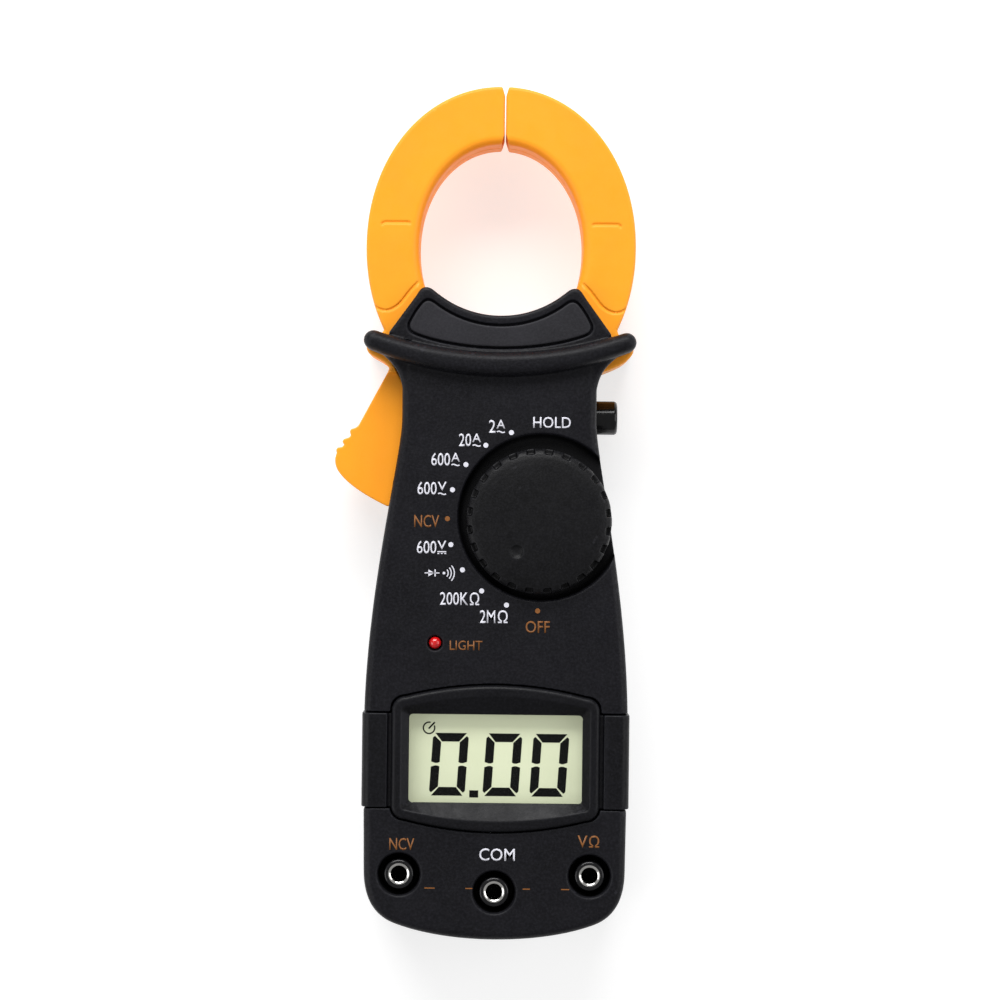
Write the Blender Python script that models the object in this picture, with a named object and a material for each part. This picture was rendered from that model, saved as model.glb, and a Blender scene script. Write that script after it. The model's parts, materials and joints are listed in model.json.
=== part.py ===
"""Clamp meter lying on its back: +Z out of the front face, +Y towards the jaw tips, metres."""
import math

import bmesh
import bpy
from mathutils import Matrix, Vector

MM = 0.001
GAP = 0.3                      # clearance between touching pieces, mm

# Case, mm
NECK_HALF = 23.8               # half width of the neck
BODY_HALF = 32.3               # half width at the display
CASE_TOP = 74.0                # top end of the case body, under the guard
CASE_BOTTOM = -71.0
FRONT_Z = 31.0                 # front face
PART_Z = 16.0                  # plane where front and rear case meet
FRONT_LOW_Z = PART_Z + 0.15    # lower edge of the front shells
REAR_HIGH_Z = PART_Z - 0.15    # upper edge of the rear shells
RIB_TOP_Z = 29.4               # where posts and wells run into the front wall
WALL = 2.0
FACE_WALL = 2.2

# Jaws, mm
JAW_CENTRE_Y = 98.9
JAW_OUTER = (33.2, 39.6)       # half axes of the outer outline
JAW_INNER = (20.2, 25.4)       # half axes of the window
CORE_OUTER = (29.2, 35.2)
CORE_INNER = (24.2, 30.2)
JAW_POWER = 2.05               # superellipse power of the jaw outlines
JAW_LOW_Z = 6.5
JAW_HIGH_Z = 25.5
CORE_LOW_Z = 12.0
CORE_HIGH_Z = 20.0
SLIT_X = 0.7                   # the jaws meet a little right of the centre line
TRIGGER_LOW_Z = 8.0
TRIGGER_HIGH_Z = 24.0
PIVOT = (-23.0, 74.0)
PIN_RADIUS = 1.5

# Plates that hold the jaws, mm
PLATE_LOW_Z = JAW_HIGH_Z + GAP
PLATE_HIGH_Z = 29.5
REAR_PLATE_Z = JAW_LOW_Z - GAP
GUARD_TOP_Z = 35.0
GUARD_RADIUS = 88.0            # radius of the guard's centre line
GUARD_MID_Y = 69.8
GUARD_HALF_LENGTH = 31.2
GUARD_HALF_WIDTH = 2.4

# Knob, mm
KNOB = (10.0, 31.6)
KNOB_RADIUS = 17.8
RECESS = (10.6, 32.6)
RECESS_RADIUS = 20.2
RECESS_FLOOR_Z = 27.4
KNOB_TOP_Z = 35.6
KNOB_BOTTOM_Z = 27.9
KNOB_TEETH = 24
SHAFT_RADIUS = 4.0
SHAFT_LOW_Z = 23.7
POINTER_ANGLE = 234.0          # of the dimple that points at the chosen range
DETENT_REACH = 13.0            # from the knob's axis to each detent ball

# Display, mm
BAND_LOW_Y = -39.0
BAND_HIGH_Y = -15.3
BEZEL_HALF = 25.4
BEZEL_TOP_Y = -8.6
BEZEL_BOTTOM_Y = -44.4
VIEW_HALF_X = 21.5
VIEW_LOW_Y = -37.5
VIEW_HIGH_Y = -15.8
POCKET_Z = 28.3
FRAME_TOP_Z = 32.2

# Board and battery, mm
BOARD_LOW_Z = 21.0
BOARD_HIGH_Z = 22.6

# Input jacks, mm
JACKS = {"input_jack_left": (-23.3, -55.0), "input_jack_com": (0.0, -59.15),
         "input_jack_right": (23.3, -55.0)}
WELL_RADIUS = 5.1
WELL_WALL = 1.4
WELL_FLOOR_Z = 21.4
WELL_FLOOR = 1.6               # thickness of a well's floor
JACK_OUTER = 2.7
JACK_BORE = 2.03

# Hold button, mm
HOLD_Y = 57.4
HOLD_RADIUS = 4.2
HOLD_OUTER_X = 29.3

LED = (-15.1, 1.6)
BUZZER = (-20.0, 16.0)
COVER_SCREW = (0.0, -46.4)
SCREWS = {"case_screw_1": (-3.5, 65.0), "case_screw_2": (15.0, 65.0),
          "case_screw_3": (-12.5, -63.6), "case_screw_4": (12.5, -63.6)}
BOARD_SCREWS = {"board_screw_1": (-24.0, 4.0), "board_screw_2": (25.0, -6.0), "board_screw_3": (-3.5, 46.0)}

MATERIALS = {
    "black_case": ((0.016, 0.016, 0.019), 0.55, 0.0),
    "black_gloss": ((0.010, 0.010, 0.012), 0.25, 0.0),
    "orange_jaw": ((1.0, 0.42, 0.03), 0.42, 0.0),
    "steel": ((0.62, 0.62, 0.64), 0.28, 1.0),
    "brass": ((0.78, 0.57, 0.28), 0.3, 1.0),
    "copper": ((0.72, 0.30, 0.14), 0.35, 1.0),
    "ferrite": ((0.20, 0.20, 0.22), 0.45, 0.6),
    "board": ((0.02, 0.18, 0.07), 0.45, 0.0),
    "chip": ((0.02, 0.02, 0.02), 0.4, 0.0),
    "lcd": ((0.60, 0.66, 0.45), 0.2, 0.0),
    "clear": ((0.9, 0.95, 0.9), 0.05, 0.0),
    "red": ((0.7, 0.02, 0.02), 0.25, 0.0),
    "rubber": ((0.05, 0.05, 0.05), 0.8, 0.0),
    "white_plastic": ((0.75, 0.75, 0.72), 0.45, 0.0),
}


# ---------------------------------------------------------------- basics

def clear_scene():
    for item in list(bpy.data.objects):
        bpy.data.objects.remove(item, do_unlink=True)


def material(name):
    found = bpy.data.materials.get(name)
    if found:
        return found
    colour, roughness, metallic = MATERIALS[name]
    found = bpy.data.materials.new(name)
    found.use_nodes = True
    shader = found.node_tree.nodes["Principled BSDF"]
    shader.inputs["Base Color"].default_value = (*colour, 1.0)
    shader.inputs["Roughness"].default_value = roughness
    shader.inputs["Metallic"].default_value = metallic
    found.diffuse_color = (*colour, 1.0)
    return found


def finish_mesh(name, mesh_maker, finish, smooth=True):
    """Object from a bmesh given in millimetres."""
    bmesh.ops.scale(mesh_maker, vec=(MM, MM, MM), verts=mesh_maker.verts)
    bmesh.ops.recalc_face_normals(mesh_maker, faces=mesh_maker.faces)
    mesh = bpy.data.meshes.new(name)
    mesh_maker.to_mesh(mesh)
    mesh_maker.free()
    if smooth:
        mesh.shade_smooth()
        mesh.set_sharp_from_angle(angle=math.radians(35))
    thing = bpy.data.objects.new(name, mesh)
    bpy.context.scene.collection.objects.link(thing)
    if finish:
        mesh.materials.append(material(finish))
    return thing


def loft(name, rings, finish=None):
    """Closed solid through rings of (outline, z); all outlines have the same number of points."""
    maker = bmesh.new()
    loops = [[maker.verts.new((x, y, z)) for x, y in outline] for outline, z in rings]
    for lower, upper in zip(loops, loops[1:]):
        count = len(lower)
        for i in range(count):
            j = (i + 1) % count
            maker.faces.new((lower[i], lower[j], upper[j], upper[i]))
    maker.faces.new(list(reversed(loops[0])))
    maker.faces.new(loops[-1])
    return finish_mesh(name, maker, finish)


def prism(name, outline, low, high, finish=None):
    return loft(name, [(outline, low), (outline, high)], finish)


def circle(centre, radius, sides=32):
    return [(centre[0] + radius * math.cos(2 * math.pi * i / sides),
             centre[1] + radius * math.sin(2 * math.pi * i / sides)) for i in range(sides)]


def rectangle(x0, y0, x1, y1):
    return [(x0, y0), (x1, y0), (x1, y1), (x0, y1)]


def rounded_rectangle(x0, y0, x1, y1, radius, steps=4):
    points = []
    corners = [(x1 - radius, y0 + radius, -90), (x1 - radius, y1 - radius, 0),
               (x0 + radius, y1 - radius, 90), (x0 + radius, y0 + radius, 180)]
    for cx, cy, start in corners:
        for i in range(steps + 1):
            angle = math.radians(start + 90 * i / steps)
            points.append((cx + radius * math.cos(angle), cy + radius * math.sin(angle)))
    return points


def bezier(p0, p1, p2, p3, steps):
    """Points of a cubic curve, without its last point."""
    points = []
    for i in range(steps):
        t = i / steps
        a, b, c, d = (1 - t) ** 3, 3 * t * (1 - t) ** 2, 3 * t * t * (1 - t), t ** 3
        points.append((a * p0[0] + b * p1[0] + c * p2[0] + d * p3[0],
                       a * p0[1] + b * p1[1] + c * p2[1] + d * p3[1]))
    return points


def inset(outline, distance):
    """Outline moved inwards; it runs anticlockwise."""
    result = []
    count = len(outline)
    for i in range(count):
        before, here, after = (Vector(outline[k % count]) for k in (i - 1, i, i + 1))
        first = (here - before).normalized()
        second = (after - here).normalized()
        normal_1 = Vector((-first.y, first.x))
        normal_2 = Vector((-second.y, second.x))
        bisector = (normal_1 + normal_2).normalized()
        length = distance / max(0.35, bisector.dot(normal_1))
        point = here + bisector * length
        result.append((point.x, point.y))
    return result


def superellipse(half_axes, start, end, steps):
    """Points round the jaw centre between two angles in degrees, both ends included."""
    points = []
    for i in range(steps + 1):
        angle = math.radians(start + (end - start) * i / steps)
        c, s = math.cos(angle), math.sin(angle)
        points.append((half_axes[0] * math.copysign(abs(c) ** (2 / JAW_POWER), c),
                       JAW_CENTRE_Y + half_axes[1] * math.copysign(abs(s) ** (2 / JAW_POWER), s)))
    return points


def box(name, x0, y0, z0, x1, y1, z1, finish=None):
    return prism(name, rectangle(x0, y0, x1, y1), z0, z1, finish)


def cylinder(name, centre, radius, low, high, finish=None, sides=32):
    return prism(name, circle(centre, radius, sides), low, high, finish)


def lathe_x(name, y, z, profile, finish, sides=32):
    """Solid turned about a line along X through (y, z); profile is a list of (x, radius)."""
    maker = bmesh.new()
    loops = []
    for x, radius in profile:
        ring = [(x, y + up, z + side) for up, side in circle((0.0, 0.0), radius, sides)]
        loops.append([maker.verts.new(point) for point in ring])
    for lower, upper in zip(loops, loops[1:]):
        for i in range(sides):
            j = (i + 1) % sides
            maker.faces.new((lower[i], lower[j], upper[j], upper[i]))
    maker.faces.new(list(reversed(loops[0])))
    maker.faces.new(loops[-1])
    return finish_mesh(name, maker, finish)


def lathe_z(name, centre, profile, finish, sides=32):
    """Solid turned about a vertical line; profile is a list of (z, radius) from low to high."""
    return loft(name, [(circle(centre, radius, sides), z) for z, radius in profile], finish)


def combine(target, other, operation):
    change = target.modifiers.new(other.name, "BOOLEAN")
    change.operation = operation
    change.solver = "EXACT"
    change.object = other
    other.hide_render = True
    other.display_type = "WIRE"


def subtract(target, *others):
    for other in others:
        combine(target, other, "DIFFERENCE")


def unite(target, *others):
    for other in others:
        combine(target, other, "UNION")


def wire(name, points, radius, finish, sides_level=1):
    """Round wire along a smooth curve through the points."""
    smooth_points = []
    count = len(points)
    for i in range(count - 1):
        p0, p1, p2, p3 = (Vector(points[min(max(k, 0), count - 1)]) for k in (i - 1, i, i + 1, i + 2))
        for step in range(4):
            t = step / 4
            smooth_points.append(0.5 * (2 * p1 + (p2 - p0) * t + (2 * p0 - 5 * p1 + 4 * p2 - p3) * t * t
                                        + (3 * p1 - p0 - 3 * p2 + p3) * t ** 3))
    smooth_points.append(Vector(points[-1]))
    return tube(name, smooth_points, radius, finish, sides_level)


def tube(name, points, radius, finish, sides_level=1):
    """Round wire through the given points, in millimetres."""
    curve = bpy.data.curves.new(name, "CURVE")
    curve.dimensions = "3D"
    curve.bevel_depth = radius * MM
    curve.bevel_resolution = sides_level
    curve.use_fill_caps = True
    spline = curve.splines.new("POLY")
    spline.points.add(len(points) - 1)
    for point, place in zip(spline.points, points):
        point.co = (place[0] * MM, place[1] * MM, place[2] * MM, 1.0)
    curve.materials.append(material(finish))
    thing = bpy.data.objects.new(name, curve)
    bpy.context.scene.collection.objects.link(thing)
    return thing


# ---------------------------------------------------------------- outlines

def mirrored(points):
    return [(-x, y) for x, y in reversed(points)]


def body_outline():
    """Case seen from the front, anticlockwise from the middle of its lower end."""
    right = bezier((0.0, CASE_BOTTOM), (8.0, CASE_BOTTOM), (17.0, -70.0), (24.3, -67.3), 5)
    right += bezier((24.3, -67.3), (29.5, -65.4), (32.0, -61.0), (32.0, -54.0), 6)
    right += [(32.0, -54.0), (BODY_HALF, -34.0)]
    right += bezier((BODY_HALF, -17.0), (31.9, 15.0), (NECK_HALF, 47.5), (NECK_HALF, 56.0), 12)
    right += [(NECK_HALF, 56.0), (NECK_HALF, 66.0), (NECK_HALF, CASE_TOP)]
    return right + mirrored(right)[:-1]


def guard_outline(half_width):
    """Curved bar with round ends."""
    centre_y = GUARD_MID_Y + GUARD_RADIUS
    reach = math.asin(GUARD_HALF_LENGTH / GUARD_RADIUS)
    end_x = GUARD_HALF_LENGTH
    end_y = centre_y - GUARD_RADIUS * math.cos(reach)
    points = []
    steps = 12
    for i in range(steps + 1):
        angle = -math.pi / 2 - reach + 2 * reach * i / steps
        swell = 0.5 * math.cos((angle + math.pi / 2) / reach * math.pi / 2)
        radius = GUARD_RADIUS + half_width + swell
        points.append((radius * math.cos(angle), centre_y + radius * math.sin(angle)))
    for i in range(1, 6):
        angle = -math.pi / 2 + reach + math.pi * i / 6
        points.append((end_x + half_width * math.cos(angle), end_y + half_width * math.sin(angle)))
    for i in range(steps + 1):
        angle = -math.pi / 2 + reach - 2 * reach * i / steps
        swell = 0.5 * math.cos((angle + math.pi / 2) / reach * math.pi / 2)
        radius = GUARD_RADIUS - half_width - swell
        points.append((radius * math.cos(angle), centre_y + radius * math.sin(angle)))
    for i in range(1, 6):
        angle = math.pi / 2 - reach + math.pi * i / 6
        points.append((-end_x + half_width * math.cos(angle), end_y + half_width * math.sin(angle)))
    return points


def cradle_outline():
    """Plate that covers the roots of the jaws, with a round hollow along its top."""
    hollow_radius = 25.0
    hollow_y = 81.9 + hollow_radius
    points = [(-23.0, 70.5), (23.0, 70.5), (27.3, 77.5), (19.9, 87.6), (18.6, 88.7), (17.0, 88.3)]
    for i in range(9):
        angle = math.radians(-53.0 - 74.0 * i / 8)
        points.append((hollow_radius * math.cos(angle), hollow_y + hollow_radius * math.sin(angle)))
    return points + [(-17.0, 88.3), (-18.6, 88.7), (-19.9, 87.6), (-27.3, 77.5)]


def bezel_outline(grow=0.0):
    """Display surround: straight sides, arched top and bottom, round corners."""
    half = BEZEL_HALF + grow
    corner = 2.6
    sag = 3.8
    reach = half - corner
    points = []
    for side, middle in ((-1, BEZEL_BOTTOM_Y - grow), (1, BEZEL_TOP_Y + grow)):
        edge_y = middle - side * sag * (reach / half) ** 2
        centre_y = edge_y - side * corner
        for i in range(3):
            angle = math.radians(side * 90 - 90 + 30 * i)
            points.append((side * reach + corner * math.cos(angle), centre_y + corner * math.sin(angle)))
        for i in range(9):
            x = side * reach * (1 - i / 4)
            points.append((x, middle - side * sag * (x / half) ** 2))
        for i in range(1, 4):
            angle = math.radians(side * 90 + 30 * i)
            points.append((-side * reach + corner * math.cos(angle), centre_y + corner * math.sin(angle)))
    return points


def jaw_base_left():
    return [(-15.5, 68.5), (-9.0, 71.8), (-0.15, 73.6), (-0.15, 80.4), (-8.0, 81.2), (-14.2, 83.9)]


def moving_jaw_outline():
    slit = SLIT_X - GAP / 2
    tip_outer = JAW_CENTRE_Y + JAW_OUTER[1]
    tip_inner = JAW_CENTRE_Y + JAW_INNER[1]
    trigger = [(-32.9, 75.4), (-32.9, 72.8), (-27.2, 68.8), (-34.9, 54.4), (-36.8, 53.6), (-36.5, 52.1),
               (-38.6, 50.9), (-38.2, 49.9), (-40.1, 48.9), (-40.0, 48.0), (-40.5, 45.6), (-39.2, 42.8),
               (-36.6, 40.3), (-31.0, 36.6), (-27.4, 34.8), (-25.6, 35.4), (-23.0, 41.0), (-20.5, 52.0),
               (-18.0, 62.0)]
    return ([(slit, tip_outer)] + superellipse(JAW_OUTER, 92, 211, 20) + trigger + jaw_base_left()
            + superellipse(JAW_INNER, 216, 92, 20) + [(slit, tip_inner)])


def fixed_jaw_outline():
    slit = SLIT_X + GAP / 2
    tip_outer = JAW_CENTRE_Y + JAW_OUTER[1]
    tip_inner = JAW_CENTRE_Y + JAW_INNER[1]
    base = [(0.15, 80.4), (0.15, 73.6), (10.0, 71.6), (19.0, 70.0), (26.4, 68.6), (32.9, 72.8), (32.9, 75.4)]
    return ([(slit, tip_inner)] + superellipse(JAW_INNER, 87, -36, 20) + [(14.2, 83.9), (8.0, 81.2)] + base
            + superellipse(JAW_OUTER, -31, 87, 20) + [(slit, tip_outer)])


def core_outline_left():
    slit = SLIT_X - 0.25
    root = [(-22.0, 79.6), (-14.0, 76.8), (-0.35, 75.4), (-0.35, 78.9), (-13.0, 80.6), (-19.5, 84.6)]
    return ([(slit, JAW_CENTRE_Y + CORE_OUTER[1])] + superellipse(CORE_OUTER, 93, 200, 12) + root
            + superellipse(CORE_INNER, 200, 93, 12) + [(slit, JAW_CENTRE_Y + CORE_INNER[1])])


def core_outline_right():
    slit = SLIT_X + 0.25
    root = [(19.5, 84.6), (13.0, 80.6), (0.35, 78.9), (0.35, 75.4), (14.0, 76.8), (22.0, 79.6)]
    return ([(slit, JAW_CENTRE_Y + CORE_INNER[1])] + superellipse(CORE_INNER, 86, -20, 12) + root
            + superellipse(CORE_OUTER, -20, 86, 12) + [(slit, JAW_CENTRE_Y + CORE_OUTER[1])])


def sector(half_axes_out, half_axes_in, start, end, steps):
    return (superellipse(half_axes_out, start, end, steps)
            + list(reversed(superellipse(half_axes_in, start, end, steps))))


def round_knob(radius, degrees):
    """Point at an angle round the knob's axis."""
    angle = math.radians(degrees)
    return KNOB[0] + radius * math.cos(angle), KNOB[1] + radius * math.sin(angle)


def knob_outline(radius, depth):
    """Round outline with a shallow notch at each tooth gap."""
    points = []
    steps = 4
    for tooth in range(KNOB_TEETH):
        for i in range(steps):
            here = radius - (depth if i == 1 else 0.0)
            points.append(round_knob(here, 360 * (tooth + i / steps) / KNOB_TEETH))
    return points


# ---------------------------------------------------------------- case

def screw_posts(case, low, high, hole_low, hole_high, radius):
    """Posts for the case screws, with their pilot holes."""
    for name, place in SCREWS.items():
        unite(case, cylinder("post_" + name, place, radius, low, high, sides=20))
        subtract(case, cylinder("pilot_" + name, place, 1.6, hole_low, hole_high, sides=16))


def hold_hole(name):
    return lathe_x(name, HOLD_Y, PART_Z, [(21.0, HOLD_RADIUS + GAP), (30.0, HOLD_RADIUS + GAP)], None)


def front_case():
    outline = body_outline()
    case = loft("front_case", [(outline, FRONT_LOW_Z), (outline, 28.6), (inset(outline, 0.5), 30.2),
                               (inset(outline, 1.6), FRONT_Z)], "black_case")
    face_low = FRONT_Z - FACE_WALL
    subtract(case, prism("front_hollow", inset(outline, WALL), 8.0, face_low),
             box("front_jaw_way", -40, 66.5, 5, 40, 90, PLATE_LOW_Z),
             box("front_trigger_way", -40, 33.6, 5, -18, 67, TRIGGER_HIGH_Z + GAP))
    unite(case, box("display_bridge", -31, -46, 26.6, 31, -7, 29.2))
    dish = cylinder("knob_dish", RECESS, RECESS_RADIUS + 1.3, 25.6, RIB_TOP_Z, sides=36)
    combine(dish, prism("dish_limit", inset(outline, 0.3), 20, 40), "INTERSECT")
    unite(case, dish)
    for name, place in JACKS.items():
        unite(case, cylinder("well_" + name, place, WELL_RADIUS + WELL_WALL, WELL_FLOOR_Z - WELL_FLOOR,
                             RIB_TOP_Z, sides=20))
    unite(case, prism("front_cradle", cradle_outline(), PLATE_LOW_Z, PLATE_HIGH_Z))
    unite(case, loft("front_guard", [(guard_outline(GUARD_HALF_WIDTH), PLATE_LOW_Z),
                                     (guard_outline(GUARD_HALF_WIDTH), 32.2), (guard_outline(1.8), 34.2),
                                     (guard_outline(0.7), GUARD_TOP_Z)]))
    screw_posts(case, FRONT_LOW_Z, RIB_TOP_Z, 10.0, 26.5, 3.2)
    for name, place in BOARD_SCREWS.items():
        unite(case, cylinder("post_" + name, place, 2.3, BOARD_HIGH_Z + GAP, RIB_TOP_Z, sides=16))
        subtract(case, cylinder("pilot_" + name, place, 1.2, 20.0, 25.3, sides=12))
    unite(case, cylinder("front_jaw_peg", (-PIVOT[0], PIVOT[1]), 1.6, 22.0, 27.0, sides=20),
          cylinder("spring_post", (-11.0, 62.0), 1.2, 20.0, RIB_TOP_Z, sides=16))
    subtract(case, cylinder("knob_well", RECESS, RECESS_RADIUS, RECESS_FLOOR_Z, 45, sides=44),
             cylinder("knob_shaft_hole", KNOB, 5.2, 20, 30),
             cylinder("led_hole", LED, 1.85, 20, 40, sides=20),
             hold_hole("hold_hole_front"),
             prism("band_pocket", rectangle(-45, BAND_LOW_Y, 45, BAND_HIGH_Y), POCKET_Z, 45),
             prism("bezel_pocket", bezel_outline(GAP), POCKET_Z, 45),
             prism("lcd_hole", rectangle(-22.2, -38.2, 22.2, -15.1), 20, 45),
             cylinder("front_pin_hole", PIVOT, PIN_RADIUS + GAP, 20, 31, sides=20))
    for name, place in JACKS.items():
        subtract(case, cylinder("bore_" + name, place, WELL_RADIUS, WELL_FLOOR_Z, 45, sides=24),
                 cylinder("way_" + name, place, JACK_OUTER + GAP, 15, 30, sides=16))
    return case


def rear_case():
    outline = body_outline()
    case = loft("rear_case", [(inset(outline, 1.6), 0.0), (inset(outline, 0.5), 0.8), (outline, 2.4),
                              (outline, REAR_HIGH_Z)], "black_case")
    subtract(case, prism("rear_hollow", inset(outline, WALL), WALL, 24),
             box("rear_jaw_way", -40, 66.5, REAR_PLATE_Z, 40, 90, 24),
             box("rear_trigger_way", -40, 33.6, TRIGGER_LOW_Z - GAP, -18, 67, 24))
    unite(case, prism("rear_cradle", cradle_outline(), 2.5, REAR_PLATE_Z))
    unite(case, loft("rear_guard", [(guard_outline(1.4), 0.0), (guard_outline(GUARD_HALF_WIDTH), 1.6),
                                    (guard_outline(GUARD_HALF_WIDTH), REAR_PLATE_Z)]))
    bay_walls = {"bay_low": (-30.5, -44.4, 30.5, -42.6), "bay_high": (-30.5, -13.0, 30.5, -11.2),
                 "bay_side": (-29.2, -43.5, -27.4, -12.0)}
    for name, (x0, y0, x1, y1) in bay_walls.items():
        unite(case, box(name, x0, y0, 1.0, x1, y1, REAR_HIGH_Z))
    unite(case, cylinder("cover_screw_post", COVER_SCREW, 2.8, 2.1, 11.0, sides=20))
    screw_posts(case, 1.0, REAR_HIGH_Z, -1.0, 30.0, 4.2)
    unite(case, cylinder("rear_jaw_peg", (-PIVOT[0], PIVOT[1]), 1.6, 4.0, 10.0, sides=20))
    for name, place in SCREWS.items():
        subtract(case, cylinder("sink_" + name, place, 2.9, -1.0, 2.7, sides=20))
    subtract(case, prism("cover_opening", rounded_rectangle(-27.0, -49.6, 27.0, -13.4, 2.5), -1.0, 2.05),
             prism("bay_opening", rectangle(-27.0, -42.3, 27.0, -13.4), -1.0, 4.0),
             cylinder("cover_screw_pilot", COVER_SCREW, 1.3, 0, 9.0, sides=12),
             hold_hole("hold_hole_rear"),
             cylinder("rear_pin_hole", PIVOT, PIN_RADIUS + GAP, 2.7, 20, sides=20))
    for i in range(5):
        low_y = BUZZER[1] - 4.5 + 2.2 * i
        subtract(case, box("buzzer_slot_%d" % i, BUZZER[0] - 5.0, low_y, -1, BUZZER[0] + 5.0, low_y + 1.0, 4))
    return case


def display_frame():
    band = rectangle(-32.6, BAND_LOW_Y + GAP, 32.6, BAND_HIGH_Y - GAP)
    band_top = rectangle(-31.4, BAND_LOW_Y + 0.5, 31.4, BAND_HIGH_Y - 0.5)
    frame = loft("display_frame", [(band, POCKET_Z + GAP), (band, 30.2), (band_top, 31.3)], "black_case")
    outline = bezel_outline()
    rise = [(outline, POCKET_Z + GAP), (outline, 31.2), (inset(outline, 1.1), FRAME_TOP_Z)]
    unite(frame, loft("bezel_rise", rise))
    flare = 1.6
    view = rounded_rectangle(-VIEW_HALF_X, VIEW_LOW_Y, VIEW_HALF_X, VIEW_HIGH_Y, 1.0)
    view_top = rounded_rectangle(-VIEW_HALF_X - flare, VIEW_LOW_Y - flare, VIEW_HALF_X + flare,
                                 VIEW_HIGH_Y + flare, flare)
    subtract(frame, loft("view_hole", [(view, 27), (view, 30.6), (view_top, 33)]),
             box("window_pocket", -23.7, -39.7, 27, 23.7, -13.6, 30.1))
    return frame


def battery_cover():
    cover = prism("battery_cover", rounded_rectangle(-26.7, -49.3, 26.7, -13.7, 2.2), 0.0, 1.75, "black_case")
    subtract(cover, cylinder("cover_sink", COVER_SCREW, 2.3, -1, 1.0, sides=20),
             cylinder("cover_hole", COVER_SCREW, 1.5, -1, 3, sides=16))
    for i in range(6):
        low_y = -20.2 + 0.9 * i
        subtract(cover, box("cover_groove_%d" % i, -8, low_y, -1, 8, low_y + 0.4, 0.35))
    return cover


# ---------------------------------------------------------------- jaws

def jaw_shells(prefix, outline, core):
    """Front and rear half of one jaw, with a channel for its core."""
    channel = inset(core, -GAP)
    halves = []
    for half, low, high in (("front", FRONT_LOW_Z, JAW_HIGH_Z), ("rear", JAW_LOW_Z, REAR_HIGH_Z)):
        edge = inset(outline, 0.45)
        if half == "front":
            rings = [(outline, low), (outline, high - 0.6), (edge, high)]
        else:
            rings = [(edge, low), (outline, low + 0.6), (outline, high)]
        shell = loft("%s_%s_shell" % (prefix, half), rings, "orange_jaw")
        subtract(shell, prism("%s_%s_channel" % (prefix, half), channel, CORE_LOW_Z - GAP, CORE_HIGH_Z + GAP))
        halves.append(shell)
    return halves


def moving_jaw():
    front, rear = jaw_shells("moving_jaw", moving_jaw_outline(), core_outline_left())
    leg_way = [(-27.0, 71.0), (-19.6, 57.5), (-10.0, 57.5), (-10.0, 66.0), (-20.0, 72.0)]
    subtract(front, box("trigger_top_cut", -50, 20, TRIGGER_HIGH_Z, -8, 67.8, 40),
             cylinder("pin_way_front", PIVOT, PIN_RADIUS + GAP, 5, 40, sides=20),
             cylinder("spring_pocket", PIVOT, 4.8, 21.3, 40, sides=24),
             prism("spring_leg_way", leg_way, 21.3, 40))
    subtract(rear, box("trigger_low_cut", -50, 20, 0, -8, 67.8, TRIGGER_LOW_Z),
             cylinder("pin_way_rear", PIVOT, PIN_RADIUS + GAP, 5, 40, sides=20))
    prism("moving_core", core_outline_left(), CORE_LOW_Z, CORE_HIGH_Z, "ferrite")


def fixed_jaw():
    front, rear = jaw_shells("fixed_jaw", fixed_jaw_outline(), core_outline_right())
    room_out = (JAW_OUTER[0] - 1.5, JAW_OUTER[1] - 1.5)
    room_in = (JAW_INNER[0] + 1.5, JAW_INNER[1] + 1.5)
    place = (-PIVOT[0], PIVOT[1])
    for half, shell in (("front", front), ("rear", rear)):
        subtract(shell, prism("coil_room_" + half, sector(room_out, room_in, -16, 28, 8), 8.2, 23.8),
                 cylinder("peg_way_" + half, place, 1.9, 5, 11 if half == "rear" else 40, sides=20))
    subtract(front, cylinder("peg_seat_front", place, 1.9, 21.5, 40, sides=20))
    prism("fixed_core", core_outline_right(), CORE_LOW_Z, CORE_HIGH_Z, "ferrite")
    bobbin = prism("coil_bobbin", sector((31.2, 37.6), (22.2, 27.8), -13, 25, 8), 9.2, 22.8, "white_plastic")
    subtract(bobbin, prism("bobbin_waist_out", sector((40, 46), (30.4, 36.5), -10.5, 22.5, 8), 5, 30),
             prism("bobbin_waist_in", sector((23.0, 28.9), (15, 20), -10.5, 22.5, 8), 5, 30),
             prism("bobbin_waist_high", sector((40, 46), (15, 20), -10.5, 22.5, 8), 21.1, 30),
             prism("bobbin_waist_low", sector((40, 46), (15, 20), -10.5, 22.5, 8), 5, 10.9),
             prism("bobbin_bore", sector((29.5, 35.5), (23.9, 29.9), -20, 32, 8),
                   CORE_LOW_Z - GAP, CORE_HIGH_Z + GAP))
    winding = prism("coil_winding", sector((31.0, 37.3), (22.4, 28.0), -10.1, 22.1, 8), 9.4, 22.6, "copper")
    subtract(winding, prism("winding_bore", sector((30.7, 36.8), (22.7, 28.6), -20, 32, 8), 10.6, 21.4))


def pivot_and_spring():
    """Pin through the moving jaw, and the spring round it that closes the jaws."""
    cylinder("jaw_pivot_pin", PIVOT, PIN_RADIUS, 3.0, 30.7, "steel", sides=20)
    coil_radius = 3.4
    low_z, high_z = 22.1, 24.6
    low_angle = 230.0
    sweep = low_angle + 720.0
    steps = 32
    points = []
    start = Vector((PIVOT[0] + coil_radius * math.cos(math.radians(low_angle)),
                    PIVOT[1] + coil_radius * math.sin(math.radians(low_angle))))
    away = Vector((math.cos(math.radians(low_angle + 90)), math.sin(math.radians(low_angle + 90))))
    for reach in (15.0, 7.0):
        points.append((*(start + away * reach), low_z))
    for i in range(steps + 1):
        angle = math.radians(low_angle - sweep * i / steps)
        points.append((PIVOT[0] + coil_radius * math.cos(angle), PIVOT[1] + coil_radius * math.sin(angle),
                       low_z + (high_z - low_z) * i / steps))
    for reach in (7.0, 14.0):
        points.append((PIVOT[0] + coil_radius, PIVOT[1] - reach, high_z))
    tube("jaw_spring", points, 0.3, "steel")


# ---------------------------------------------------------------- knob and button

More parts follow.
